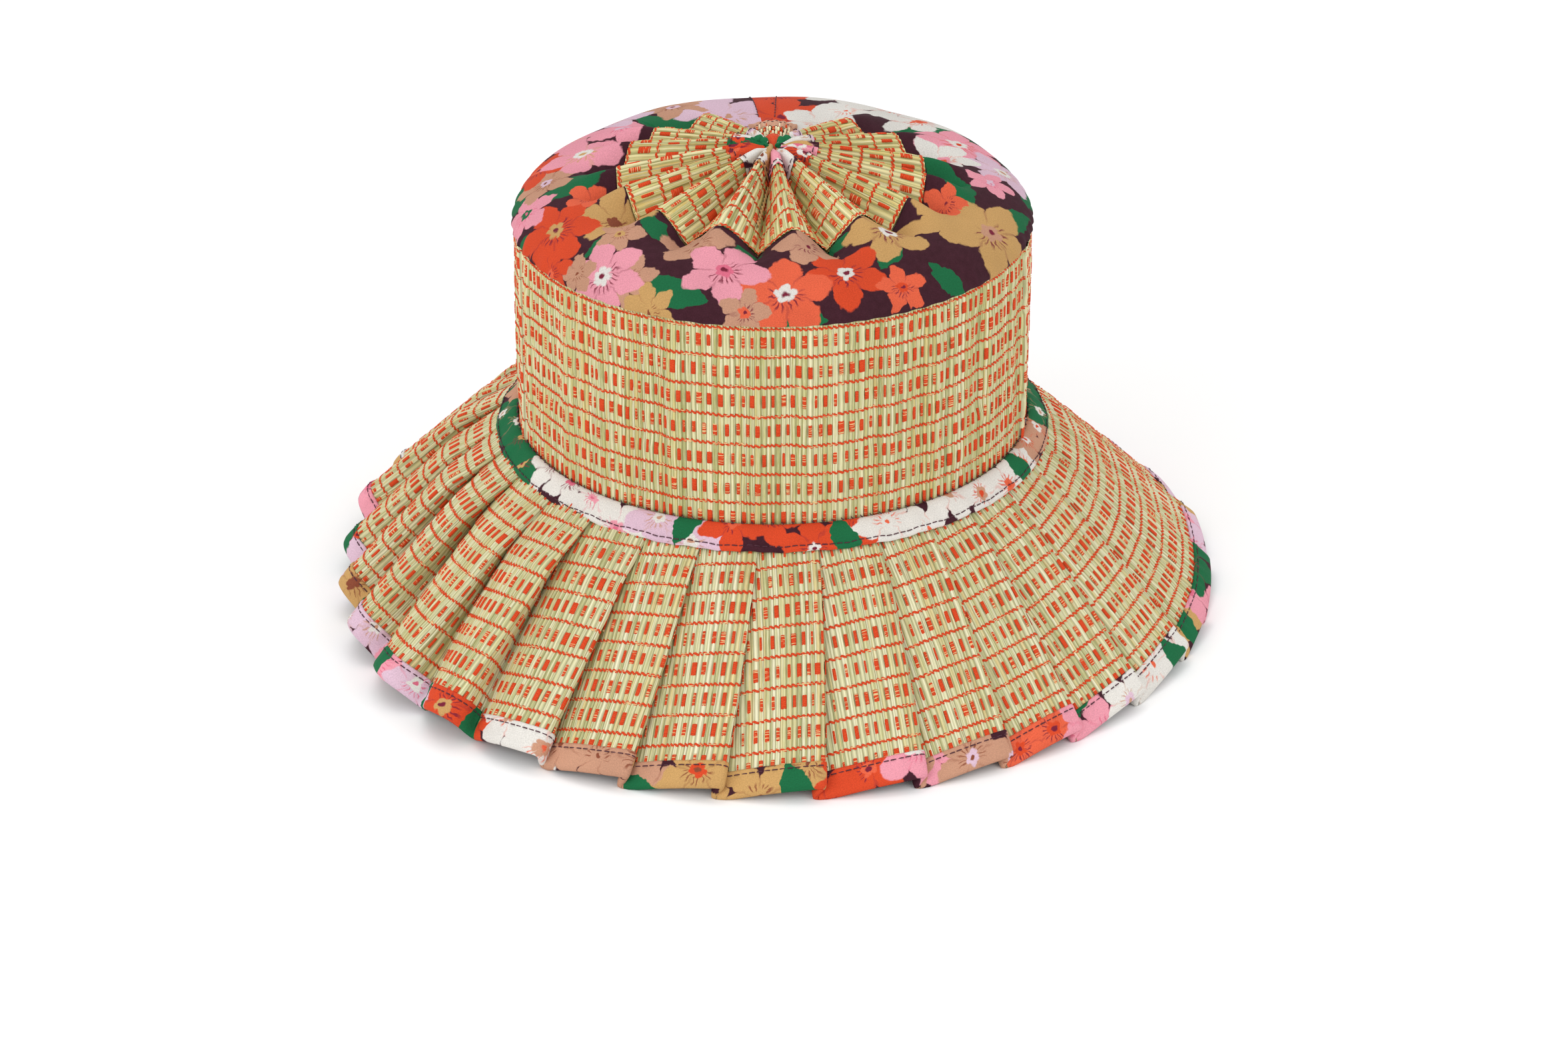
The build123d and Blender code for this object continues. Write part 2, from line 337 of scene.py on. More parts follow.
def brim_direction(u):
    """Rough direction of a place along the brim's mat."""
    return math.radians(FOLD_START) + TURN * u / BRIM_LENGTH


def left_share(u):
    """1 on the hat's left, where the pleats stand up in rolls, and 0 elsewhere."""
    return np.clip((np.cos(brim_direction(u) - LEFT) - 0.42) / 0.38, 0, 1)


def drawn_in(angle):
    """How far the brim's edge is pulled in at the hat's left back."""
    return 8.5 * np.clip((np.cos(angle - LEFT_BACK) - 0.6) / 0.3, 0, 1)


def brim_profile(u, v):
    """Angle round the hat, height above the cone and distance down it, before folds are softened."""
    share = v / BRIM_SPAN
    radius = BRIM_INNER_RADIUS + BRIM_RUN * share
    advance = TURN * radius / BRIM_PLEATS
    roll = left_share(u)
    tallest = np.sqrt(PLEAT_CLOTH**2 - advance**2) / 2
    start = 0.3 + 0.7 * np.clip((v - 4 * roll) / (22 + 6 * roll), 0, 1)
    height = ((3.4 + 1.8 * share) * (1 - roll) + roll * (8.5 + 6.5 * share)) * start
    height = np.minimum(height, tallest * 0.97)
    forward = advance / 2 + PLEAT_CLOTH / 2 * np.sqrt(1 - (height / tallest) ** 2)
    back = advance - forward
    up_length, down_length = np.hypot(forward, height), np.hypot(back, height)
    scale = PLEAT_CLOTH / (up_length + down_length)
    up_length, down_length = up_length * scale, down_length * scale
    turn = (u + up_length) / PLEAT_CLOTH
    pleat = np.floor(turn)
    place = (turn - pleat) * PLEAT_CLOTH - up_length
    rising = place < 0
    along = np.where(rising, place / up_length * forward, place / down_length * back)
    standing = np.where(rising, 1 + place / up_length, 1 - place / down_length)
    index = pleat.astype(int) % BRIM_PLEATS
    fraction = np.clip((along + forward) / advance, 0, 1)
    shift = pleat_shift[index - 1] * (1 - fraction) + pleat_shift[index] * fraction
    angle = (pleat * advance + along) / radius + np.radians(shift + FOLD_START) + FOLD_SLANT * (1 - share)
    bulge = (0.9 + 3.4 * roll) * start * np.sin(math.pi * np.clip(standing, 0, 1)) * rising
    # A pleat is flat cloth, so its edge and its thread lines run straight and leave the circle
    aside = np.where(rising, -along, along / back * forward)
    slip = (0.85 - 0.5 * roll) * aside**2 / (2 * radius)
    return angle, standing * height * pleat_height[index] + bulge, v + slip


def brim_surface(u, v, soft=1.5):
    """Point of the pleated brim, its folds rounded by averaging over a short length of mat."""
    u, v = np.broadcast_arrays(np.asarray(u, float), np.asarray(v, float))
    steps = np.linspace(-1, 1, 7)
    around = [brim_profile(u + step * (soft + 2.0 * left_share(u)), v) for step in steps]
    angle, height, down = (sum(values) / len(steps) for values in zip(*around))
    share, height = down / BRIM_SPAN, height - BRIM_SUNK
    out = BRIM_INNER_RADIUS + BRIM_RUN * share + BRIM_DROP / BRIM_SPAN * height - drawn_in(angle) * share
    return polar(out, angle, BRIM_TOP - BRIM_DROP * share + BRIM_RUN / BRIM_SPAN * height)


def brim_fullness(u, v):
    """How wide the bars show: slits in the valleys and whole bars on the folds."""
    _, height, _ = brim_profile(u, v)
    return np.clip(0.28 + 0.8 * height / (3.6 + 5.0 * left_share(u)), 0.25, 1)


# --- Crown side ---------------------------------------------------------------------------------

SIDE_LENGTH, SIDE_HEIGHT = TURN * CROWN_RADIUS, SIDE_TOP - SIDE_BOTTOM
SIDE_WAVES = ((13, 0.4, 0.4), (23, 0.45, 2.1), (37, 0.42, 4.4), (61, 0.25, 1.3))  # number, size, phase
TUCKS = ((197.0, 1), (343.0, -1))  # direction, and which way each overlap faces
TUCK_WIDTH, TUCK_DEPTH = 9, 1.5


def side_surface(u, v):
    """Point of the crown's side; v runs down from the top edge."""
    u, v = np.broadcast_arrays(np.asarray(u, float), np.asarray(v, float))
    angle = u / CROWN_RADIUS
    waves = sum(size * np.sin(number * angle + phase + 0.35 * np.sin(v * 0.05 + phase))
                for number, size, phase in SIDE_WAVES)
    waves = waves * np.clip(np.minimum(v, SIDE_HEIGHT - v) / 18, 0.25, 1)
    tuck = 0.0
    for direction, facing in TUCKS:
        away = facing * ((np.degrees(angle) - direction + 180) % 360 - 180)
        over = np.where((away > -TUCK_WIDTH) & (away <= 0), TUCK_DEPTH * (1 + away / TUCK_WIDTH), 0)
        tuck = tuck + over * np.exp(-np.maximum(away, 0))
    behind_sweatband = smoothstep((v - SIDE_TOP + SWEATBAND_HIGH[2] + 3) / 4)
    waves = waves + behind_sweatband * (np.maximum(waves, -0.2) - waves)
    return polar(CROWN_RADIUS - STRAW_HALF - 0.5 + waves + tuck, angle, SIDE_TOP - v)


# --- Fan of the crown's top ---------------------------------------------------------------------

# Directions of the folds, from the join round the left, front and right and back to it
FAN_RIDGES = (120, 146, 163, 186, 205, 228, 253, 277, 301, 325, 345, 3, 26, 53)
FAN_PLEATS = len(FAN_RIDGES)
FAN_PLEAT_CLOTH = 31.5
FAN_LENGTH = FAN_PLEAT_CLOTH * FAN_PLEATS
FAN_INNER = 11.0
FAN_SPAN = FAN_RADIUS - FAN_INNER
FAN_EDGE = FAN_RADIUS - 0.4  # radius where the mat's v is 0
FAN_FORWARD = 5.0  # the fan's edge is this much nearer the front
FAN_EDGE_RIDGE, FAN_CENTRE_RIDGE = 170.5, CENTRE_TOP + 0.6  # heights of the folds
FOLD_ROUND, DEEPEST_FOLD = 0.22, 13.5
fan_height = rng.uniform(-0.9, 0.9, FAN_PLEATS)


def fan_marks():
    """Directions of valleys and ridges in turn, in radians, always increasing."""
    ridges = np.unwrap(np.radians(FAN_RIDGES))
    between = (ridges[:-1] + ridges[1:]) / 2
    marks = np.empty(2 * len(ridges) + 1)
    marks[1::2], marks[2:-1:2] = ridges, between
    marks[0], marks[-1] = 2 * ridges[0] - between[0], 2 * ridges[-1] - between[-1]
    return marks


FAN_MARKS = fan_marks()


def fan_height_at(pleat_place, radius):
    """Height of the fan where pleat_place counts pleats from the join and ridges are at halves."""
    pleat_place = np.clip(pleat_place, 0, FAN_PLEATS - 1e-6)
    index = np.floor(pleat_place).astype(int)
    away = np.abs(pleat_place - index - 0.5) * 2
    width = (FAN_MARKS[2 * index + 2] - FAN_MARKS[2 * index]) * np.maximum(radius, 3.0)
    deep = np.minimum(np.sqrt(np.maximum(FAN_PLEAT_CLOTH**2 - width**2, 60.0)) / 2, DEEPEST_FOLD)
    share = np.clip((FAN_RADIUS - radius) / FAN_SPAN, 0, 1.15)
    ridge = FAN_EDGE_RIDGE + (FAN_CENTRE_RIDGE - FAN_EDGE_RIDGE) * share**0.85
    ridge = ridge + fan_height[index] * (1 - share)
    rounded = FOLD_ROUND + 0.1 * share
    drop = (np.sqrt(away**2 + rounded**2) - rounded) / (math.sqrt(1 + FOLD_ROUND**2) - FOLD_ROUND)
    return ridge - deep * drop


def fan_reach(radius, angle):
    """Distance from the axis: the fan's edge lies a little further out at the front than at the back."""
    share = np.clip((radius - FAN_INNER) / FAN_SPAN, 0, 1.1)
    right_back = np.maximum(np.cos(angle - TURN / 8), 0) ** 4
    inward = FAN_FORWARD * np.sin(angle) + 2.5 * np.maximum(np.sin(angle), 0) + 3.0 * right_back
    return radius - inward * share


def fan_surface(u, v):
    """Point of the fan; v runs in from the outer edge."""
    u, v = np.broadcast_arrays(np.asarray(u, float), np.asarray(v, float))
    radius, place = FAN_EDGE - v, u / FAN_PLEAT_CLOTH
    past_ends = place - np.clip(place, 0, FAN_PLEATS)
    angle = np.interp(place * 2, np.arange(len(FAN_MARKS)), FAN_MARKS) + past_ends * 0.3
    return polar(fan_reach(radius, angle), angle, fan_height_at(place, radius))


def fan_edge(angle, radius):
    """Height of the fan at a radius near its edge, and whether the fan is there at all."""
    turned = FAN_MARKS[0] + (angle - FAN_MARKS[0]) % TURN
    place = np.interp(turned, FAN_MARKS, np.arange(len(FAN_MARKS)) / 2)
    return fan_height_at(place, radius), turned <= FAN_MARKS[-1]


# --- Colours and shaders ------------------------------------------------------------------------


def rgb(code):
    """Linear colour from a hexadecimal sRGB code."""
    parts = [int(code[i : i + 2], 16) / 255 for i in (0, 2, 4)]
    return (*(c / 12.92 if c <= 0.04045 else ((c + 0.055) / 1.055) ** 2.4 for c in parts), 1.0)


def rgbs(codes):
    """Linear colours from codes with spaces between them."""
    return tuple(rgb(code) for code in codes.split())


# The print's colours, by letter: green, pink, orange, coral, tan, dusty beige, white, lilac, maroon,
# brown and hot pink
INK_CODES = "1b6a41 ea9aa9 d84a28 e66444 c99e63 c69479 e2ded7 dcbccd 7a2238 8a4a34 dd6c86"
INK = dict(zip("GPOCTDWLMBH", rgbs(INK_CODES)))
WEFT, WEFT_DARK, WEFT_PALE = rgbs("d63a14 8f1f08 e66a38")
STRAW_TONES = rgbs("8e9152 bdbb78 dcd7a0 efe8bd c9c684 dcc67c a98f4c")
PALE_TONES = rgbs("9b9d62 c6c48a e0dcae f1ecca d0cd94 e0cc8e b59c5c")
FAN_TONES = rgbs("94904a c9bf72 e8dc98 f3e8b4 d4c878 e2c670 b0924a")
WEFT_STRAND, COTTON_THREAD = 0.46, 0.42  # widths of the threads drawn on the cloth
WOBBLE = 2.3  # how far the print's outlines stray


class Shader:
    """A material's or a group's nodes, with short calls for what the materials below need."""

    def __init__(self, name, tree=None):
        if tree is None:
            self.material = bpy.data.materials.new(name)
            self.material.use_nodes = True
            tree = self.material.node_tree
            self.surface = tree.nodes["Principled BSDF"]
        self.tree = tree

    def feed(self, node, inputs):
        """Link or set a node's inputs, each by number or name."""
        for key, value in inputs.items():
            if isinstance(value, bpy.types.NodeSocket):
                self.tree.links.new(value, node.inputs[key])
            else:
                node.inputs[key].default_value = value
        return node.outputs

    def node(self, kind, inputs=(), **settings):
        """Outputs of a new node with these inputs and properties."""
        made = self.tree.nodes.new(kind)
        for key, value in settings.items():
            setattr(made, key, value)
        return self.feed(made, dict(inputs))

    def math(self, operation, *values, clamp=False):
        """One math node."""
        return self.node("ShaderNodeMath", enumerate(values), operation=operation, use_clamp=clamp)[0]

    def mul(self, *values):
        """Product of two values."""
        return self.math("MULTIPLY", *values)

    def mul_add(self, *values, clamp=False):
        """First value times the second, plus the third."""
        return self.math("MULTIPLY_ADD", *values, clamp=clamp)

    def vector(self, operation, *values):
        """One vector math node with its first output."""
        return self.node("ShaderNodeVectorMath", enumerate(values), operation=operation)[0]

    def split(self, vector):
        """A vector's three parts."""
        return self.node("ShaderNodeSeparateXYZ", {0: vector})

    def mix(self, share, first, second, blend="MIX"):
        """Mix two colours."""
        inputs = {0: share, 6: first, 7: second}
        return self.node("ShaderNodeMix", inputs, data_type="RGBA", blend_type=blend)[2]

    def below(self, value, limit, edge=0.02):
        """1 where value is under limit, 0 above, with a narrow soft edge."""
        return self.mul_add(self.math("SUBTRACT", limit, value), 1 / edge, 0.5, clamp=True)

    def uv(self, *scale):
        """Cloth coordinates in millimetres, scaled across and along where scale is given."""
        coordinates = self.node("ShaderNodeUVMap", uv_map="cloth")[0]
        return self.vector("MULTIPLY", coordinates, (*scale, 1)) if scale else coordinates

    def noise(self, vector, scale=1.0, detail=2.0, roughness=0.5, output=0):
        """Noise texture."""
        inputs = {"Vector": vector, "Scale": scale, "Detail": detail, "Roughness": roughness}
        return self.node("ShaderNodeTexNoise", inputs)[output]

    def grain(self, across, along, detail=2.0, roughness=0.5):
        """Noise on the cloth, with its frequency across and along the cloth per millimetre."""
        return self.noise(self.uv(across, along), 1.0, detail, roughness)

    def ramp(self, value, stops, interpolation="LINEAR"):
        """Colour ramp."""
        outputs = self.node("ShaderNodeValToRGB", {0: value})
        ramp = outputs[0].node.color_ramp
        ramp.interpolation = interpolation
        while len(ramp.elements) < len(stops):
            ramp.elements.new(0.5)
        for element, (place, colour) in zip(ramp.elements, stops):
            element.position, element.color = place, colour
        return outputs[0]

    def group(self, tree, **inputs):
        """A node group's first output, from values by input name."""
        return self.node("ShaderNodeGroup", inputs, node_tree=tree)[0]

    def attribute(self, name):
        """A mesh attribute's value."""
        return self.node("ShaderNodeAttribute", attribute_name=name)["Fac"]

    def finish(self, colour, height, roughness, specular, distance, strength):
        """Feed the surface shader."""
        bump = self.node("ShaderNodeBump", {"Height": height, "Distance": distance, "Strength": strength})
        given = {"Base Color": colour, "Roughness": roughness, "Specular IOR Level": specular}
        self.feed(self.surface, {**given, "Normal": bump[0]})
        return self.material


def straw_material(name, tones):
    """Dried rush: each stalk its own tone, long fibres, and painted shade in the valleys between stalks."""
    s = Shader(name)
    tone, crest = s.attribute("tone"), s.attribute("crest")
    fibres, streaks = s.grain(5.0, 0.09, 4.0, 0.65), s.grain(1.9, 0.035, 1.0)
    hairs, blotches = s.grain(16.0, 0.3), s.grain(0.35, 0.02)
    hue = s.math("ADD", s.mul(tone, 0.75), s.mul(blotches, 0.3))
    colour = s.ramp(hue, list(zip(np.linspace(0.1, 1.0, len(tones)), tones)))
    for pattern, contrast, offset, other in (
        (streaks, 5.0, -2.75, "f0ebc8"), (streaks, -5.0, 1.95, "8d8b4c"),
        (fibres, 1.9, -0.85, "9a9350"), (hairs, 2.4, -1.2, "f1ecd0"),
    ):
        colour = s.mix(s.mul_add(pattern, contrast, offset, clamp=True), colour, rgb(other))
    # Painted shade: the colour turns dark olive towards each valley between stalks, where crest is low
    colour = s.mix(s.mul_add(crest, 0.7, 0.3, clamp=True), rgb("6f6a35"), colour)
    height = s.mul_add(fibres, 0.8, s.mul(hairs, 0.3))
    return s.finish(colour, height, s.mul_add(fibres, 0.25, 0.38), 0.35, 0.00012, 0.5)


def weft_material():
    """Orange-red cotton: threads side by side, with straw showing through some of the bars."""
    s = Shader("weft_cotton")
    tone, along = s.attribute("tone"), s.split(s.uv())[1]
    wander, fine, slits = s.grain(0.8, 0.8, 1.0), s.grain(9.0, 9.0), s.grain(0.2, 2.3, 0.0)
    strands = s.math("SINE", s.mul(s.mul_add(wander, 0.5, along), TURN / WEFT_STRAND))
    lit = s.math("ADD", s.mul_add(strands, 0.22, 0.32), s.mul(fine, 0.4))
    colour = s.ramp(lit, ((0.15, WEFT_DARK), (0.5, WEFT), (0.9, WEFT_PALE)))
    open_here = s.mul(s.below(0.62, slits, 0.03), s.below(0.45, tone))
    colour = s.mix(s.mul(open_here, 0.8), colour, rgb("e3cf95"))
    return s.finish(colour, s.mul_add(strands, 0.5, fine), 0.7, 0.15, 0.00012, 0.6)


def painter(name, numbers, colours):
    """A new node group's shader, its inputs, and the place to paint seen from the motif's centre."""
    tree = bpy.data.node_groups.new(name, "ShaderNodeTree")
    for kind, labels in (("Color", "Under " + colours), ("Vector", "Spot Centre"), ("Float", numbers)):
        for label in labels.split():
            tree.interface.new_socket(label, in_out="INPUT", socket_type="NodeSocket" + kind)
    tree.interface.new_socket("Colour", in_out="OUTPUT", socket_type="NodeSocketColor")
    s = Shader(name, tree)
    given = s.node("NodeGroupInput")
    return s, given, s.vector("SUBTRACT", given["Spot"], given["Centre"])


def flower_group():
    """Node group that paints one flower over what is under it."""
    s, given, away = painter("flower", "Size Turn Petals", "Petal Heart Stroke")
    x, y, _ = s.split(away)
    length = s.node("ShaderNodeVectorMath", {0: away}, operation="LENGTH")["Value"]
    reach = s.math("DIVIDE", length, given["Size"])
    bearing = s.math("ADD", s.math("ARCTAN2", y, x), given["Turn"])
    wave = s.math("ABSOLUTE", s.math("COSINE", s.mul(bearing, s.mul(given["Petals"], 0.5))))
    lobe, point = s.math("POWER", wave, 0.55), s.math("POWER", wave, 6.0)
    edge = s.mul_add(point, 0.14, s.mul_add(lobe, 0.36, 0.54))
    between = s.mul(s.below(lobe, 0.34, 0.2), s.below(0.25, reach, 0.2))
    rays = s.math("COSINE", s.mul(bearing, s.mul(given["Petals"], 3.0)))
    one_side = s.math("COSINE", s.mul_add(bearing, 1.0, 0.7))
    drawn = s.mul(s.below(0.45, rays, 0.4), s.below(0.6, lobe, 0.2))
    drawn = s.mul(drawn, s.below(-0.35, one_side, 0.2))
    drawn = s.mul(drawn, s.mul(s.below(reach, 0.38, 0.1), s.below(0.19, reach, 0.06)))
    petal = s.mix(s.mul(between, 0.3), given["Petal"], given["Stroke"])
    petal = s.mix(s.mul(drawn, 0.85), petal, given["Stroke"])
    petal = s.mix(s.below(reach, s.mul_add(lobe, 0.07, 0.15), 0.04), petal, given["Heart"])
    petal = s.mix(s.below(reach, 0.075, 0.03), petal, given["Stroke"])
    s.node("NodeGroupOutput", {0: s.mix(s.below(reach, edge, 0.05), given["Under"], petal)})
    return s.tree


def leaf_group():
    """Node group that paints one pointed leaf over what is under it."""
    s, given, away = painter("leaf", "Length Width Turn", "Leaf")
    turned = s.node("ShaderNodeVectorRotate", {0: away, "Angle": given["Turn"]}, rotation_type="Z_AXIS")[0]
    x, y, _ = s.split(turned)
    along = s.math("DIVIDE", x, given["Length"])
    squared = s.mul(along, along)
    across = s.math("ABSOLUTE", s.math("DIVIDE", s.mul_add(squared, -2.0, y), given["Width"]))
    inside = s.below(across, s.math("SUBTRACT", 1.0, squared), 0.06)
    s.node("NodeGroupOutput", {0: s.mix(inside, given["Under"], given["Leaf"])})
    return s.tree


FLOWER, LEAF = flower_group(), leaf_group()


def flower_colours(petal, heart, stroke):
    """A flower's colours by input name."""
    return {"Petal": petal, "Heart": heart, "Stroke": stroke}


def cotton_finish(s, colour, body=0.35):
    """Plain weave over a printed or dyed colour: fine threads, slight slubs and fuzz."""
    x, y, _ = s.split(s.uv())
    weave = s.mul(*(s.math("SINE", s.mul(place, TURN / COTTON_THREAD)) for place in (x, y)))
    slubs, worn, flecks = s.grain(1.6, 1.6, 3.0, 0.7), s.grain(0.05, 0.05), s.grain(2.6, 2.6, 1.0)
    light = s.mul_add(flecks, 0.42, s.mul_add(slubs, 0.4, s.mul_add(worn, 0.22, body)))
    colour = s.mix(1.0, colour, s.mul_add(weave, 0.05, light), "MULTIPLY")
    return s.finish(colour, s.mul_add(weave, 0.5, slubs), 0.8, 0.12, 0.0001, 0.35)


def print_spot(s):
    """Cloth coordinates shaken a little, so that the painted outlines look drawn by hand."""
    shake = s.noise(s.uv(0.22, 0.22), output="Color")
    centred = s.vector("SUBTRACT", shake, (0.5, 0.5, 0.5))
    pushed = s.node("ShaderNodeVectorMath", {0: centred, "Scale": 2 * WOBBLE}, operation="SCALE")[0]
    return s.vector("ADD", s.uv(), pushed)


def plum_ground(s):
    """The print's ground colour, a little uneven."""
    return s.mix(s.grain(0.4, 0.4), rgb("38161f"), rgb("4a2430"))


def strip_print(name, cell, start, size, width, colours):
    """A strip cut from the same print: a large flower to each cell of its length, leaves between."""
    s = Shader(name)
    u, v, _ = s.split(print_spot(s))
    under, count = plum_ground(s), len(colours)
    for layer, shift in enumerate((0.5, 0.0, 0.4)):
        place = s.math("DIVIDE", s.math("SUBTRACT", u, start + shift * cell), cell)
        number = s.math("FLOOR", place)
        local = s.mul(s.math("SUBTRACT", s.math("FRACT", place), 0.5), cell)
        seed = s.math("ADD", number, 0.31 * layer)
        chance = s.node("ShaderNodeTexWhiteNoise", {"W": seed}, noise_dimensions="1D")["Color"]
        first, second, third = s.node("ShaderNodeSeparateColor", {0: chance})
        across = s.math("SUBTRACT", v, s.mul_add(first, width * 1.5, -width * 0.25))
        given = {"Under": under, "Spot": s.node("ShaderNodeCombineXYZ", {0: local, 1: across})[0]}
        if layer < 2:
            share = s.math("DIVIDE", s.math("ADD", s.math("FLOORED_MODULO", number, count), 0.5), count)
            parts = []
            for part in range(3):
                stops = [(i / count, INK[colour[part]]) for i, colour in enumerate(colours)]
                parts.append(s.ramp(share, stops, "CONSTANT"))
            given.update(flower_colours(*parts), Petals=5.0, Turn=s.mul(second, TURN))
            under = s.group(FLOWER, **given, Size=s.mul_add(third, 0.25 * size, 0.85 * size))
        else:
            leaf = s.ramp(second, ((0.0, INK["G"]), (0.7, INK["D"]), (0.85, INK["G"])), "CONSTANT")
            wide = s.mul_add(s.below(third, 0.42), size * 0.36, 0.001)
            steep = s.mul_add(first, 2.2, 0.4)
            under = s.group(LEAF, **given, Length=size * 0.8, Width=wide, Turn=steep, Leaf=leaf)
    return cotton_finish(s, under)


def plain_cotton(name, colour, faded):
    """Dyed cotton with the same weave."""
    s = Shader(name)
    return cotton_finish(s, s.mix(s.mul(s.grain(0.3, 0.3), 0.5), colour, faded))


def thread_material(name, dark, light):
    """Twisted sewing thread."""
    s = Shader(name)
    twist = s.noise(s.node("ShaderNodeTexCoord")["Object"], 2600.0, 1.0)
    return s.finish(s.mix(twist, dark, light), twist, 0.6, 0.3, 0.0001, 0.4)


STRAW, WEFT_COTTON = straw_material("rush_straw", STRAW_TONES), weft_material()
PALE_STRAW = straw_material("pale_rush_straw", PALE_TONES)
FAN_STRAW = straw_material("golden_rush_straw", FAN_TONES)
PALE_ENDS = straw_material("pale_rush_ends", rgbs("efe6cc dccda4"))
SEWING = thread_material("plum_thread", *rgbs("2c141d 5e3343"))
BEIGE = plain_cotton("dusty_cotton", INK["D"], rgb("e0b8a0"))
GREEN_PRINT = plain_cotton("green_part_of_print", INK["G"], rgb("2a8454"))
ORANGE_PRINT = plain_cotton("orange_part_of_print", INK["O"], INK["C"])
TAN_PRINT = plain_cotton("tan_part_of_print", INK["T"], rgb("dcb988"))

# --- The shoulder's print -------------------------------------------------------------------------

SECTORS = 15
SHOULDER_SEAM = 96.0  # direction of the join in the ring, where two pieces of the print meet
FLOWER_SCALE = 1.22
# Direction, distance from the axis, length, width and turn in degrees
SHOULDER_LEAVES = (
    (20, 98, 16, 4, 60), (352, 66, 22, 6, 250), (345, 92, 14, 5, 120), (312, 96, 10, 4, 20),
    (248, 92, 13, 6, 35), (262, 66, 9, 4, 120), (222, 80, 9, 4, 160), (232, 64, 9, 4, 50),
    (187, 73, 17, 8, 330), (178, 98, 13, 6, 80), (200, 99, 10, 4, 200), (130, 66, 16, 6, 40),
    (122, 88, 10, 4, 300), (35, 76, 16, 7, 10), (48, 98, 9, 3, 60), (302, 77, 9, 4, 280),
    (276, 99, 10, 4, 170), (160, 67, 10, 4, 100), (4, 97, 12, 5, 100), (292, 60, 9, 3, 30),
)
# Direction, distance from the axis, size, turn, colours of petal, heart and stroke, and petals
SHOULDER_FLOWERS = (
    (86, 58, 16, 25, "OOM", 7), (108, 60, 17, 25, "LLD", 5), (68, 56, 15, 35, "WWC", 6),
    (60, 38, 10, 35, "WWC", 5), (115, 38, 10, 25, "LLD", 5), (90, 84, 17, 10, "OOM", 7),
    (99, 99, 9, 40, "OOM", 6), (107, 92, 17, 0, "LLD", 5), (120, 78, 11, 30, "DLB", 5),
    (72, 92, 15, 20, "WWC", 6), (57, 88, 15, 50, "WWO", 6), (64, 70, 9, 10, "WWC", 5),
    (44, 80, 12, 15, "WCO", 6), (38, 96, 9, 40, "WDC", 5), (24, 78, 14, 25, "PWO", 6),
    (10, 88, 13, 0, "LWD", 6), (14, 68, 10, 10, "WPC", 5), (358, 80, 8, 0, "PLH", 5),
    (334, 88, 17, 5, "TDM", 5), (326, 72, 11, 70, "TTT", 5), (338, 66, 7, 0, "CCM", 5),
    (306, 66, 13, 20, "TWM", 5), (288, 82, 13, 10, "OWM", 5), (300, 93, 8, 30, "COM", 5),
    (273, 90, 14, 50, "CWM", 5), (280, 65, 9, 10, "DDM", 4), (247, 66, 11, 0, "DDB", 5),
    (258, 79, 13, 15, "PHM", 5), (264, 97, 8, 0, "DCM", 5), (236, 91, 9, 0, "DDB", 6),
    (229, 93, 14, 35, "PWM", 6), (243, 101, 9, 35, "TTB", 6), (222, 96, 7, 0, "DDB", 5),
    (215, 66, 13, 20, "TBB", 6), (224, 73, 8, 20, "DTB", 5), (206, 87, 15, 10, "OTM", 6),
    (214, 101, 9, 10, "OCM", 6), (197, 68, 8, 10, "CCM", 5), (190, 93, 11, 60, "PGH", 5),
    (178, 84, 11, 45, "DLB", 5), (167, 90, 12, 30, "OCM", 5), (164, 74, 13, 30, "PWT", 5),
    (150, 92, 15, 0, "PWT", 5), (144, 72, 11, 0, "PLH", 5), (134, 90, 13, 0, "LPD", 5),
)


def motif(kind, direction, reach, size, turn, **values):
    """Paint group, place on the shoulder's cloth, size and input values of one motif."""
    angle = math.radians(direction)
    x, y = reach * math.cos(angle), reach * math.sin(angle)
    return kind, x, y, size, {"Centre": (x, y, 0), "Turn": math.radians(turn), **values}


def reaches(x, y, size, middle):
    """Whether a motif reaches into the sector of the shoulder whose middle is in that direction."""
    direction = math.degrees(math.atan2(y, x)) % 360
    beside_seam = max(abs(direction - SHOULDER_SEAM), abs(middle - SHOULDER_SEAM)) < 70
    if beside_seam and (direction > SHOULDER_SEAM) != (middle > SHOULDER_SEAM):
        return False
    away = abs((direction - middle + 180) % 360 - 180)
    half = math.degrees(math.asin(min(1.0, (1.15 * size + 4) / math.hypot(x, y))))
    return away < 180 / SECTORS + half


def shoulder_prints():
    """Large flowers round the shoulder, on a plum ground: a material for each sector."""
    motifs = []
    for direction, reach, length, width, turn in SHOULDER_LEAVES:
        values = {"Length": length, "Width": width, "Leaf": INK["G"]}
        motifs.append(motif(LEAF, direction, reach, length, turn, **values))
    for direction, reach, size, turn, inks, petals in SHOULDER_FLOWERS:
        values = flower_colours(*(INK[letter] for letter in inks))
        values.update(Size=FLOWER_SCALE * size, Petals=petals)
        motifs.append(motif(FLOWER, direction, reach, FLOWER_SCALE * size, turn, **values))
    prints = []
    for number in range(SECTORS):
        s = Shader(f"floral_shoulder_{number + 1}")
        under, spot = plum_ground(s), print_spot(s)
        for kind, x, y, size, values in motifs:
            if reaches(x, y, size, (number + 0.5) * 360 / SECTORS):
                under = s.group(kind, Under=under, Spot=spot, **values)
        prints.append(cotton_finish(s, under, body=0.25))
    return prints


SHOULDER_PRINTS = shoulder_prints()

# --- Mats ---------------------------------------------------------------------------------------

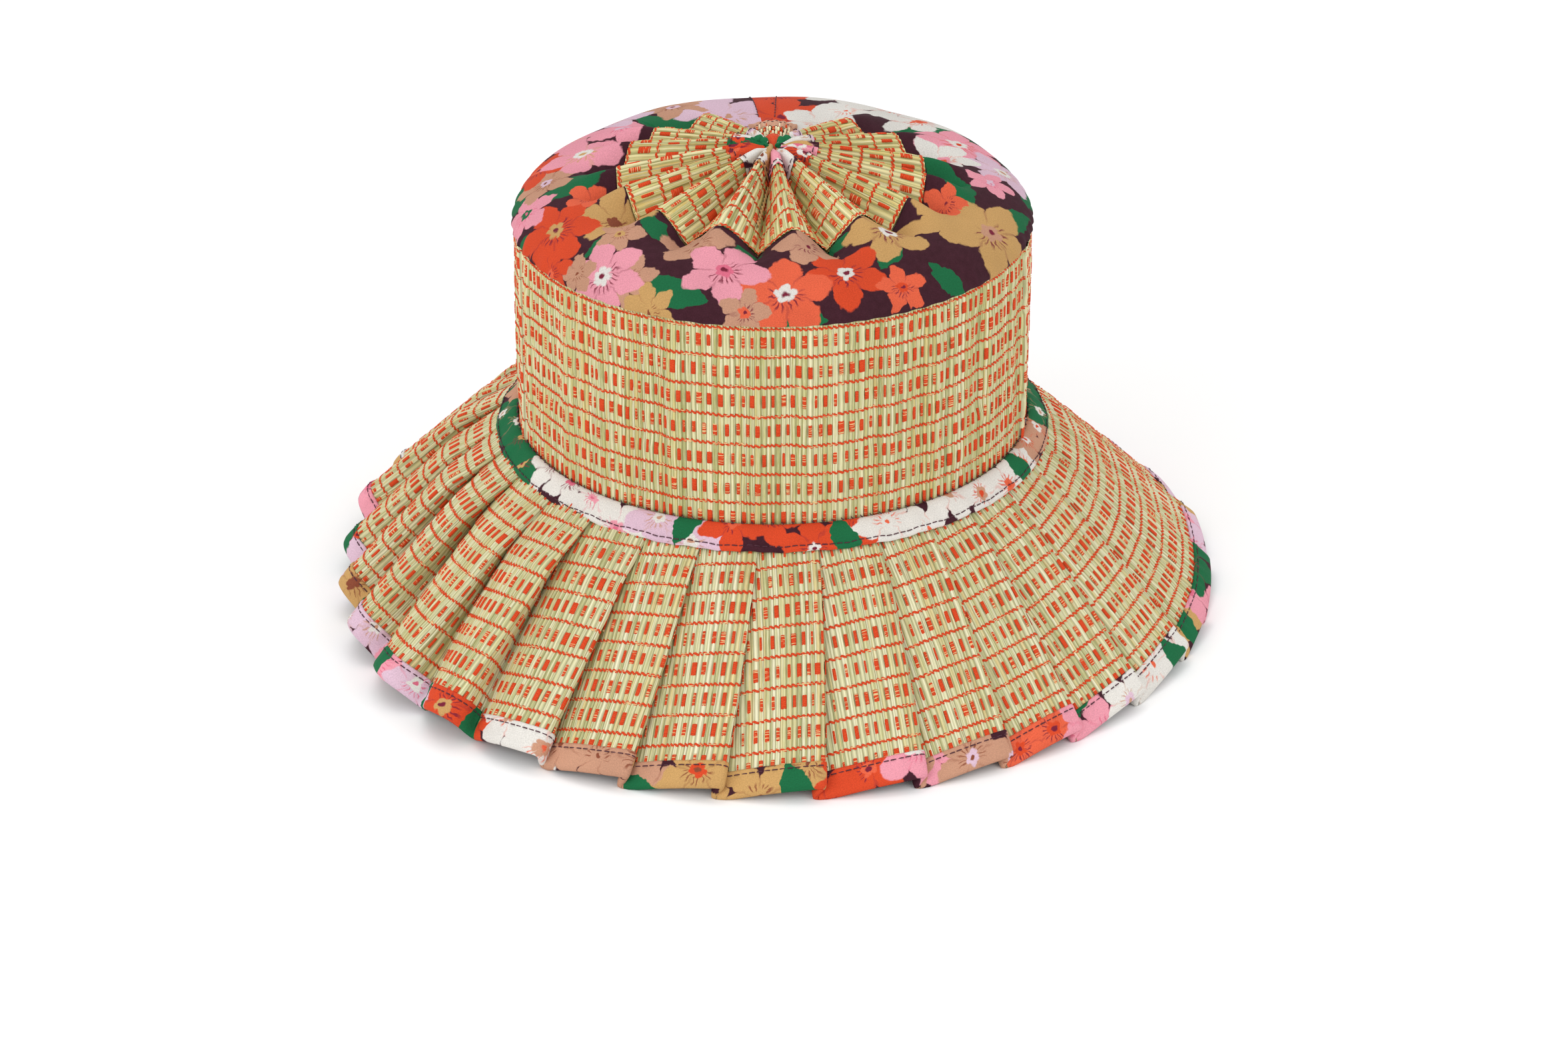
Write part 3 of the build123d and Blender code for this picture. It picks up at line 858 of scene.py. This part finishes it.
FIRST_BRIM_THREAD = 11.4
FIRST_THREAD = 0.9  # on the crown's mats
brim_threads = FIRST_BRIM_THREAD + WEFT_PITCH * np.arange(7)
brim_tapes = FIRST_BRIM_THREAD + WEFT_PITCH * (np.arange(8) - 0.5)
brim_mat = Mat(brim_surface, BRIM_LENGTH, BRIM_SPAN, brim_threads, brim_tapes, outward=-1)
brim = brim_mat.stalks("brim_straw_mat", PALE_STRAW, "brim_straw")
brim_under = brim_mat.underside("brim_straw_underside", PALE_STRAW)
brim_mat.bars("brim_weft_bars", "brim_weft_tapes", brim_fullness)
brim_mat.threads("brim_twined_threads", "brim_weft_threads")
brim_mat.bars("brim_weft_bars_below", side=-1)
brim_mat.threads("brim_twined_threads_below", side=-1)

side_threads = FIRST_THREAD + SIDE_PITCH * np.arange(7)
side_threads[0] += 0.9  # clear of the seam
side_tapes = FIRST_THREAD + SIDE_PITCH * (np.arange(7) + 0.5)
side_mat = Mat(side_surface, SIDE_LENGTH, SIDE_HEIGHT, side_threads, side_tapes, outward=-1)
side = side_mat.stalks("crown_side_mat", STRAW, "crown_side_straw")
side_under = side_mat.underside("crown_side_inner_face", STRAW)
side_mat.bars("crown_weft_bars", "crown_weft_tapes")
side_mat.threads("crown_twined_threads", "crown_weft_threads")
above_sweatband = SIDE_TOP - SWEATBAND_HIGH[2] - 0.5
side_mat.bars("crown_weft_bars_inside", side=-1, down_to=above_sweatband)
side_mat.threads("crown_twined_threads_inside", side=-1, down_to=above_sweatband)

fan_threads = FIRST_THREAD + WEFT_PITCH * np.arange(4)
fan_tapes = FIRST_THREAD + WEFT_PITCH * (np.arange(4) + 0.5)
fan_mat = Mat(fan_surface, FAN_LENGTH, FAN_SPAN, fan_threads, fan_tapes, 1, closed=False, bundle=FAN_BUNDLE)
fan = fan_mat.stalks("crown_fan_mat", FAN_STRAW, "crown_top_fan")
fan_mat.bars("fan_weft_bars", "fan_weft_tapes")
fan_mat.threads("fan_twined_threads", "fan_weft_threads")
fan_under = fan_mat.underside("crown_fan_inner_face", FAN_STRAW)

# --- Shoulder cloth -------------------------------------------------------------------------------

SHOULDER_LEVEL = 167.0  # mean height of its inner edge
JOIN_HALF = 31  # degrees from the back to either end of the fan
SEAM_ROWS = ((1.2, 2.0), (4.5, 2.7))  # inward of the fan's edge, and below it


def shoulder_profile(share):
    """Radius, height and distance along the cloth, from the side's top (0) to the fan (1)."""
    quarter = np.linspace(0, 1, 401) * math.pi / 2
    radius = FAN_RADIUS + (CROWN_RADIUS + 0.4 - FAN_RADIUS) * np.cos(quarter) ** 1.12
    height = SIDE_TOP - 0.2 + (SHOULDER_LEVEL - SIDE_TOP + 0.2) * np.sin(quarter) ** 1.12
    length = distance_along(radius, height)
    wanted = np.asarray(share) * length[-1]
    return np.interp(wanted, length, radius), np.interp(wanted, length, height), wanted, length[-1]


def shoulder_surface(angle, share):
    """Point of the domed ring: puckered at its seam, its inner edge following the fan's folds."""
    angle, share = np.broadcast_arrays(np.asarray(angle, float), np.asarray(share, float))
    out, rise, _, _ = shoulder_profile(share)
    edge, here = fan_edge(angle, FAN_RADIUS)
    near_fan = smoothstep((share - 0.45) / 0.55) ** 1.6
    from_back = np.abs((angle - math.pi / 2 + math.pi) % TURN - math.pi)
    join = smoothstep((math.radians(JOIN_HALF) - from_back) / 0.12)
    wanted = np.where(here, edge, SHOULDER_LEVEL) + 0.5
    follow = near_fan * (1 - join)
    rise = rise + (wanted - SHOULDER_LEVEL) * follow
    out = out - 0.06 * (wanted - FAN_VALLEY - 4.0) * follow
    out = out + (fan_reach(FAN_RADIUS, angle) - FAN_RADIUS) * smoothstep(share) ** 1.5
    rise = rise + 1.6 * np.maximum(np.sin(angle), 0) * np.sin(math.pi * share) ** 0.8
    puckers = np.sin(71 * angle + 2 * np.sin(5 * angle)) * 0.28 * smoothstep(1 - share * 5)
    broad = 0.55 * np.sin(9 * angle + 1.0 + 3 * share) * np.sin(math.pi * share)
    creases = 0.35 * np.sin(33 * angle + 4 * np.sin(3 * angle)) * near_fan
    return polar(out + puckers + 0.4 * broad, angle, rise + (broad + creases) * (1 - 0.5 * join))


def seam_allowance(angle):
    """Two more rows of the shoulder's cloth, turned in under the fan's edge."""
    rows = []
    for inward, drop in SEAM_ROWS:
        height, here = fan_edge(angle, FAN_RADIUS - inward)
        reach = fan_reach(FAN_RADIUS - inward, angle)
        rows.append(polar(reach, angle, np.where(here, height, SHOULDER_LEVEL) - drop))
    return np.stack(rows, 1)


def make_shoulder():
    """Printed cloth ring between the crown's side and the fan."""
    columns, share = 1200, np.linspace(0, 1, 64)
    angle = around(columns)
    _, _, run, total = shoulder_profile(share)
    points = np.concatenate([shoulder_surface(angle[:, None], share), seam_allowance(angle)], 1)
    reach = np.append(FAN_RADIUS + total - run, [FAN_RADIUS - inward for inward, _ in SEAM_ROWS])
    quads = grid_quads(columns, len(reach), closed=True)
    section = np.repeat(np.arange(columns) * SECTORS // columns, len(reach) - 1)
    piece = make_piece(
        "shoulder_printed_cloth", points, quads, SHOULDER_PRINTS, "shoulder_cloth",
        flat_uv(reach, angle[:, None], quads), section=section,
    )


make_shoulder()

# --- Strips of printed cotton -----------------------------------------------------------------------

# Colours of each flower in turn, from the hat's left round the front to its right, twice
BAND_COLOURS = "GTM WHM WPH LWD OCM OWM WWC WDO WCO DWO GWD".split()
BINDING_COLOURS = (
    "LPH TBB LWD PPH LWH OTM WDC DDB DTB TOB TTB OCM PWH DLB COM PPH WLD WWC TDB PHM GOM"
).split()
# Across the band's section: distance out from the crown, and height above its base
BAND_SECTION = (
    (0.2, 1.3), (0.7, 1.6), (1.7, 1.5), (3.2, 0.7), (5.0, -0.9),
    (6.6, -2.4), (7.9, -3.6), (8.5, -4.5), (8.3, -5.6),
)
BINDING_WIDTH = 9.6
BRIM_EDGE = BRIM_SPAN + 0.9  # where the binding folds over
# Round the brim's edge: distance out from the fold, and height above the mat's middle
BINDING_SECTION = (
    (-BINDING_WIDTH, 0.7), (-BINDING_WIDTH - 0.1, 1.35), (-BINDING_WIDTH + 0.7, 1.5), (-7.4, 1.4),
    (-5.6, 1.45), (-3.6, 1.5), (-1.8, 1.45), (-0.5, 1.1), (0.1, 0.2), (0.1, -0.7), (-0.5, -1.4),
    (-2.0, -1.6), (-5.0, -1.6), (-BINDING_WIDTH + 1, -1.5),
)


def band_loose(angle, out):
    """How far the band stands off, in ripples that grow towards its outer edge."""
    return (0.35 * np.sin(30 * angle + 0.7) + 0.18 * np.sin(83 * angle)) * out / 9


def make_band():
    """Printed strip over the join of crown and brim."""
    columns = 1100
    angle = around(columns)[:, None]
    out, rise = np.array(BAND_SECTION).T
    loose = band_loose(angle, out)
    points = polar(CROWN_RADIUS + out + 0.5 * loose, angle, CROWN_BASE + rise + loose)
    length, run = TURN * (CROWN_RADIUS + 5), distance_along(out, rise)
    cell = length / (2 * len(BAND_COLOURS))
    material = strip_print("floral_band", cell, length / 2 + 14, 12.5, 10.0, BAND_COLOURS)
    piece = make_piece(
        "base_band_strip", points, grid_quads(columns, len(out), closed=True), material,
        "base_band", grid_uv(np.linspace(0, length, columns + 1), run),
    )


def binding_surface(u, v):
    """The brim's surface with folds as soft as the cloth that wraps them."""
    return brim_surface(u, v, soft=2.2)


def make_binding():
    """Printed strip folded over the brim's outer edge."""
    columns = 2400
    offset, lift = np.array(BINDING_SECTION).T
    grid_u, grid_offset = grid(np.arange(columns) / columns * BRIM_LENGTH, offset)
    pucker = 0.2 * np.sin(grid_u * 1.15 + 2 * np.sin(grid_u * 0.13))
    pucker = pucker * np.exp(-(((grid_offset + 8) / 3.5) ** 2)) * (lift > 0)
    points = lifted(binding_surface, grid_u, BRIM_EDGE + grid_offset, lift + pucker, -1)
    points[..., 2] = np.maximum(points[..., 2], 0.1)
    run = distance_along(offset, lift)
    cell = BRIM_LENGTH / (2 * len(BINDING_COLOURS))
    start = BRIM_LENGTH * (180 - FOLD_START) / 360
    material = strip_print("floral_binding", cell, start, 14.5, 12.0, BINDING_COLOURS)
    piece = make_piece(
        "brim_binding_strip", points, grid_quads(columns, len(offset), closed=True), material,
        "brim_binding", grid_uv(np.linspace(0, BRIM_LENGTH, columns + 1), run),
    )


make_band()
make_binding()

# --- Stitches ---------------------------------------------------------------------------------------


def stitches(name, points, normals, length, gap, thick, node="", closed=True, slant=0.0):
    """Separate stitches along a line of points in millimetres, raised on their normals."""
    if closed:
        points, normals = np.vstack([points, points[:1]]), np.vstack([normals, normals[:1]])
    run = distance_along(*points.T)
    starts = np.arange(0, run[-1] - length, length + gap)
    share = np.array([0.0, 0.25, 0.75, 1.0])
    places = starts[:, None] + share * length
    middle, up = interpolated(places, run, points), unit(interpolated(places, run, normals))
    aside = np.cross(unit(middle[:, -1:] - middle[:, :1]), up)
    middle = middle + aside * (slant * (share - 0.5))[:, None]
    middle = middle + up * (np.array([-0.25, 0.1, 0.1, -0.25]) * thick)[:, None]
    rings = [middle + (aside * a + up * b) * thick / 2 for a, b in ((1, 0), (0, 1), (-1, 0), (0, -1))]
    single = np.vstack([tube_quads(4, 4), [[3, 2, 1, 0], [12, 13, 14, 15]]])
    make_piece(name, np.stack(rings, 2), copies(len(starts), single, 16), SEWING, node)


def on_surface(surface, u, v, lift, outward):
    """Points and normals along a line on a surface."""
    low = lifted(surface, u, v, lift, outward)
    return low, lifted(surface, u, v, lift + 1.0, outward) - low


fine_u = np.linspace(0, BRIM_LENGTH, 6000, endpoint=False)
line, normal = on_surface(binding_surface, fine_u, BRIM_EDGE - BINDING_WIDTH + 1.6, 1.55, -1)
stitches("brim_binding_topstitch", line, normal, 2.0, 0.7, 0.42, "brim_binding_stitches")

angles = around(1500)
line = polar(CROWN_RADIUS + 7.9, angles, CROWN_BASE - 3.35 + band_loose(angles, 7.0))
stitches("base_band_topstitch", line, polar(0.7, angles, 0.7), 2.0, 0.7, 0.4, "base_band_stitches")
line = polar(CROWN_RADIUS + 0.6, angles, CROWN_BASE + 1.5)
normal = polar(1.0, angles, 0.2)
stitches("crown_whip_stitching", line, normal, 1.6, 2.0, 0.6, "crown_whip_stitches", slant=1.6)

for number, direction in enumerate((88.9, SHOULDER_SEAM)):
    across = math.radians(direction)
    line = shoulder_surface(across, np.linspace(0.02, 0.99, 90))
    normal = np.cross(np.gradient(line, axis=0), (-math.sin(across), math.cos(across), 0.0))
    normal = unit(normal * np.sign(normal[:, 2:]))
    node = "" if number else "shoulder_seam_stitches"
    stitches(f"shoulder_seam_{number + 1}", line + 0.2 * normal, normal, 2.2, 0.9, 0.35, node, closed=False)

# --- Centre of the crown: bound pleat ends, gather and join -------------------------------------------

CENTRE_COLOURS = "WLD WWD GOM OOM OCM WWC TWB PWH WWD OWM PWH TWB WLD LWD".split()
BOUND_FROM, BOUND_TO = 17.0, 3.2  # radii of the binding's edges
JOIN_TO = 4.0  # radius where the join's cloth ends
RAW_EDGE_PLACE = 6.88  # pleats from the join to the mat's raw edge


def make_centre_binding():
    """Printed strip over the fan's inner ends, drawn together at the centre."""
    columns, rows = 16 * FAN_PLEATS, 12
    u, radius = np.linspace(0, FAN_LENGTH, columns + 1), np.linspace(BOUND_FROM, BOUND_TO, rows)
    grid_u, grid_r = grid(u, radius)
    pinch = smoothstep((12.0 - grid_r) / 9.0)
    lift = 1.25 + 0.2 * np.sin(grid_u * 1.3) - 0.2 * pinch
    points = lifted(fan_surface, grid_u, FAN_EDGE - grid_r, lift, 1)
    points[..., 2] -= 2.2 * pinch**2
    material = strip_print("floral_centre_binding", FAN_PLEAT_CLOTH, 0.0, 16.0, 14.0, CENTRE_COLOURS)
    piece = make_piece(
        "fan_centre_binding_strip", points, grid_quads(columns + 1, rows), material,
        "fan_centre_binding", grid_uv(u, BOUND_FROM - radius),
    )
    fine = np.linspace(2, FAN_LENGTH - 2, 1800)
    line, normal = on_surface(fan_surface, fine, FAN_EDGE - BOUND_FROM + 1.6, 1.5, 1)
    stitches("fan_binding_topstitch", line, normal, 1.8, 0.8, 0.4, "fan_binding_stitches", closed=False)


def make_join_cloth():
    """Printed cloth that runs in from the shoulder over the gap between the fan's two ends."""
    columns, rows = 61, 41
    across = np.linspace(-JOIN_HALF, JOIN_HALF, columns)
    away, radius = grid(across, np.linspace(FAN_RADIUS + 1.5, JOIN_TO, rows))
    angle = np.radians(90 - away)
    at_side = smoothstep((np.abs(away) - 19) / 12)
    inward = (FAN_RADIUS - radius) / (FAN_RADIUS - 20)
    middle = SHOULDER_LEVEL + 0.3 + 1.2 * inward + 0.3 * np.sin(radius * 0.5 + 0.1 * away)
    side = FAN_VALLEY + 0.4 + 6.0 * inward
    rise = middle * (1 - at_side) + side * at_side - 9.0 * smoothstep((32 - radius) / 22)
    quads = grid_quads(columns, rows)
    section = (np.degrees(angle[:-1, :-1]) * SECTORS / 360).astype(int)
    piece = make_piece(
        "join_printed_cloth", polar(fan_reach(radius, angle), angle, rise), quads, SHOULDER_PRINTS,
        uv=flat_uv(radius, angle, quads), section=section,
    )


def make_hood():
    """Small plain-cotton hood over the cut ends of the mat, open towards the centre."""
    columns, rows = 49, 17
    turn, depth = np.linspace(0, math.pi, columns), np.linspace(0, 1, rows)
    grid_turn, grid_depth = grid(turn, depth)
    half = 9.8 - 2.2 * grid_depth**1.5
    tall = 2.0 + 5.6 * np.sin(grid_depth * math.pi / 2)
    back = 43.0 - 14.0 * grid_depth - 3.0 * np.sin(grid_turn) * (1 - grid_depth)
    back = back + 1.5 * np.cos(grid_turn) ** 2
    lip = smoothstep((grid_depth - 0.88) / 0.12)
    tuck = 0.35 * np.sin(grid_turn * 17 + 3 * grid_depth)
    x = half * np.cos(grid_turn) * (1 - 0.1 * lip) + 0.3
    rise = SHOULDER_LEVEL - 0.8 + tall * np.sin(grid_turn) ** 0.8 * (1 - 0.16 * lip) + tuck * grid_depth
    points, uv = np.stack([x, back - 0.6 * lip, rise], -1), grid_uv(turn * 9, depth * 16)
    quads = grid_quads(columns, rows)
    piece = make_piece("join_hood", points, quads, BEIGE, "join_cover", uv)
    mouth = points[2:-2, -3]
    normals = np.tile([0.0, -0.3, 1.0], (len(mouth), 1))
    stitches("join_hood_stitches", mouth, normals, 1.0, 0.7, 0.35, closed=False)


def make_cut_ends():
    """Ends of the mat's rushes, with turns of weft round them, under the hood's mouth."""
    places, kinds = [], []
    for row in range(6):
        for column in range(13):
            side = (column - 6) / 6
            x = 0.3 + side * (7.2 - 0.7 * row) + rng.uniform(-0.2, 0.2)
            y = 30.0 - 2.6 * row + rng.uniform(-0.4, 0.4)
            z = SHOULDER_LEVEL + 0.6 + (4.6 - 0.25 * row) * math.sqrt(max(0.0, 1 - side**2)) - 0.3 * row
            places.append((x, y, z))
            kinds.append((column + row) % 3)
    line = np.array([[0, 0.9, 0.5], [0, 0.3, 0.75], [0, -0.6, 0.2], [0, -1.0, -0.6]])
    turn = around(6)
    rings = line[:, None] + 0.48 * np.stack([np.cos(turn), 0.3 * np.sin(turn), np.sin(turn)], -1)
    for kind, (name, material, slot, node) in enumerate((
        ("join_cut_rushes", STRAW, "straw", "fan_join_ends"),
        ("join_weft_turns", WEFT_COTTON, "weft_cotton", ""),
        ("join_pale_ends", PALE_ENDS, "straw", ""),
    )):
        points = np.array(places)[np.array(kinds) == kind][:, None, None] + rings
        quads = copies(len(points), tube_quads(4, 6), 24)
        uv, tone = corner_uv(points[..., 0], points[..., 1], quads), np.full(len(quads), 0.5)
        make_piece(name, points, quads, material, node, uv, tone, np.ones(points.size // 3))


def make_rosette(name, middle, radius, facing, material, seed):
    """A puckered knot of printed cloth."""
    draw = np.random.default_rng(seed)
    columns, rows = 48, 10
    out = np.linspace(0.02, 1, rows)
    grid_turn, grid_out = grid(around(columns), out)
    first, second = draw.uniform(0, TURN), draw.uniform(0, TURN)
    wave = np.sin(7 * grid_turn + first) + 0.5 * np.sin(12 * grid_turn + second)
    reach = radius * grid_out * (1 + 0.08 * wave * grid_out)
    dome = np.sqrt(np.maximum(0, 1 - grid_out**2.4)) - 0.35 * np.exp(-((grid_out / 0.22) ** 2))
    lift = 0.55 * radius * dome + 0.06 * radius * wave * np.sin(math.pi * grid_out)
    facing = unit(np.array(facing))
    side = unit(np.cross(facing, [0.0, 0.0, 1.0]))
    axes = np.array([side, np.cross(side, facing), facing])
    points = np.array(middle) + polar(reach, grid_turn, lift) @ axes
    uv = grid_uv(np.linspace(0, TURN * radius, columns + 1), out * radius)
    make_piece(name, points, grid_quads(columns, rows, closed=True), material, uv=uv)


def make_fold(name, route, thick, material):
    """A rounded roll of cloth along a smoothed route, with its thickness at each of the route's points."""
    sides, squash, marks = 12, 0.8, np.arange(len(route))
    fine = np.linspace(0, len(route) - 1, 24)
    line = interpolated(fine, marks, np.array(route) + (0, 0, CENTRE_TOP))
    for _ in range(4):
        line[1:-1] = (line[:-2] + 2 * line[1:-1] + line[2:]) / 4
    thick = np.interp(fine, marks, thick) * (1 + 0.06 * np.sin(fine * 9))
    ahead = unit(np.gradient(line, axis=0))
    aside = unit(np.cross(ahead, [0.0, 0.3, 1.0]))
    up, turn = np.cross(aside, ahead), around(sides)[:, None]
    section = aside[:, None] * np.cos(turn) + squash * up[:, None] * np.sin(turn)
    girth = TURN * thick.mean() / sides * np.arange(sides + 1)
    uv = grid_uv(distance_along(*line.T), girth).reshape(-1, 4, 2)[:, [0, 3, 2, 1]]
    points = line[:, None] + thick[:, None, None] * section
    make_piece(name, points, tube_quads(len(line), sides), material, uv=uv)


def make_raw_edge():
    """The mat's stitched raw edge, seen down one side of the front valley."""
    v = np.linspace(14, 40, 90)
    u = RAW_EDGE_PLACE * FAN_PLEAT_CLOTH + 0.35 * np.sin(v * 2.6)
    points = lifted(fan_surface, np.stack([u - 0.5, u, u + 0.5]), v, np.array([[1.0], [1.6], [1.0]]), 1)
    uv = grid_uv(np.array([0.0, 0.5, 1.0]), v)
    make_piece("fan_raw_edge", points, grid_quads(3, len(v)), TAN_PRINT, uv=uv)


make_centre_binding()
make_join_cloth()
make_hood()
make_cut_ends()
make_rosette("gather_left", (-5.0, 3.4, CENTRE_TOP - 1.1), 3.9, (-0.1, -0.7, 0.75), GREEN_PRINT, 1)
make_rosette("gather_right", (5.0, 3.6, CENTRE_TOP - 1.1), 3.8, (0.1, -0.7, 0.75), GREEN_PRINT, 2)
# Routes over the centre, with heights from its top
ORANGE_ROUTE = ((0.6, 19.5, -7.0), (0.4, 14.5, -4.0), (0.2, 9.5, -1.6), (0.8, 5.0, -1.9), (0.9, 1.8, -4.8))
TAN_ROUTE = ((-1.2, 4.0, -1.9), (-1.4, 0.5, -2.4), (-1.8, -4.0, -4.2), (-2.2, -8.0, -7.0))
make_fold("gather_orange_fold", ORANGE_ROUTE, (3.0, 3.2, 2.8, 2.2, 1.0), ORANGE_PRINT)
make_fold("gather_tan_fold", TAN_ROUTE, (1.6, 1.9, 1.6, 0.8), TAN_PRINT)
make_raw_edge()

# --- Sweatband --------------------------------------------------------------------------------------


def make_sweatband():
    """Plain cotton band inside the head opening."""
    columns, rows = 720, 9
    height = np.linspace(SWEATBAND_LOW[2], SWEATBAND_HIGH[2], rows)
    angle, grid_height = grid(around(columns), height)
    ripple = 0.18 * np.sin(57 * angle + 0.02 * grid_height) + 0.15 * np.sin(24 * angle)
    length, tall = TURN * SWEATBAND_HIGH[0], height[-1] - height[0]
    piece = make_piece(
        "sweatband_cloth", polar(SWEATBAND_HIGH[0] - 0.7 + ripple, angle, grid_height),
        grid_quads(columns, rows, closed=True), BEIGE, "sweatband",
        grid_uv(np.linspace(0, length, columns + 1), height),
    )


make_sweatband()

for node in ("centre_draw_thread", "sweatband_stitches"):
    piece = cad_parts[node]
    piece.data.materials.clear()
    piece.data.materials.append(SEWING)

# --- Floor, light and camera --------------------------------------------------------------------------

# Name, place, size and power
LAMPS = (
    ("key", (-1.2, -1.2, 0.9), 1.3, 11.0),
    ("fill", (1.3, -1.0, 0.8), 1.3, 7.0),
    ("top", (-0.3, 0.5, 1.7), 1.0, 5.0),
)
LAMPS_AIM = (0, 0, 0.09)
FLOOR_HALF = 6.0
CAMERA_ELEVATION, CAMERA_DISTANCE = math.radians(26.4), 1.6
CAMERA_LENS, CAMERA_SENSOR = 97.9, 36.0
AIM_BELOW, AIM_RIGHT = math.radians(1.53), math.radians(0.17)


def in_scene(name, data):
    """A new object in the scene."""
    made = bpy.data.objects.new(name, data)
    bpy.context.scene.collection.objects.link(made)
    return made


def make_stage():
    """Pale floor and soft light from all round."""
    mesh = bpy.data.meshes.new("floor")
    corners = [(x * FLOOR_HALF, y * FLOOR_HALF, 0) for x, y in ((-1, -1), (1, -1), (1, 1), (-1, 1))]
    mesh.from_pydata(corners, [], [(0, 1, 2, 3)])
    pale = Shader("pale_floor")
    dull = {"Base Color": (0.93, 0.93, 0.93, 1), "Roughness": 0.9, "Specular IOR Level": 0.1}
    pale.feed(pale.surface, dull)
    mesh.materials.append(pale.material)
    in_scene("floor", mesh)
    world = bpy.data.worlds.new("studio")
    bpy.context.scene.world = world
    world.use_nodes = True
    background = world.node_tree.nodes["Background"].inputs
    background["Color"].default_value = (1.0, 1.0, 1.0, 1)
    background["Strength"].default_value = 0.9
    for name, place, wide, power in LAMPS:
        light = bpy.data.lights.new(name, "AREA")
        light.energy, light.size = power, wide
        lamp = in_scene(name, light)
        lamp.location = place
        lamp.rotation_euler = (Vector(LAMPS_AIM) - lamp.location).to_track_quat("-Z", "Y").to_euler()


def make_camera():
    """Camera at the viewing height and distance of a product shot, in front of the hat."""
    data = bpy.data.cameras.new("camera")
    data.lens, data.sensor_width = CAMERA_LENS, CAMERA_SENSOR
    camera = in_scene("camera", data)
    height = CROWN_BASE * MM + CAMERA_DISTANCE * math.sin(CAMERA_ELEVATION)
    camera.location = (0, -CAMERA_DISTANCE * math.cos(CAMERA_ELEVATION), height)
    camera.rotation_euler = (math.pi / 2 - CAMERA_ELEVATION - AIM_BELOW, 0, -AIM_RIGHT)
    bpy.context.scene.camera = camera


make_stage()
make_camera()
bpy.context.scene.view_settings.view_transform = "Standard"
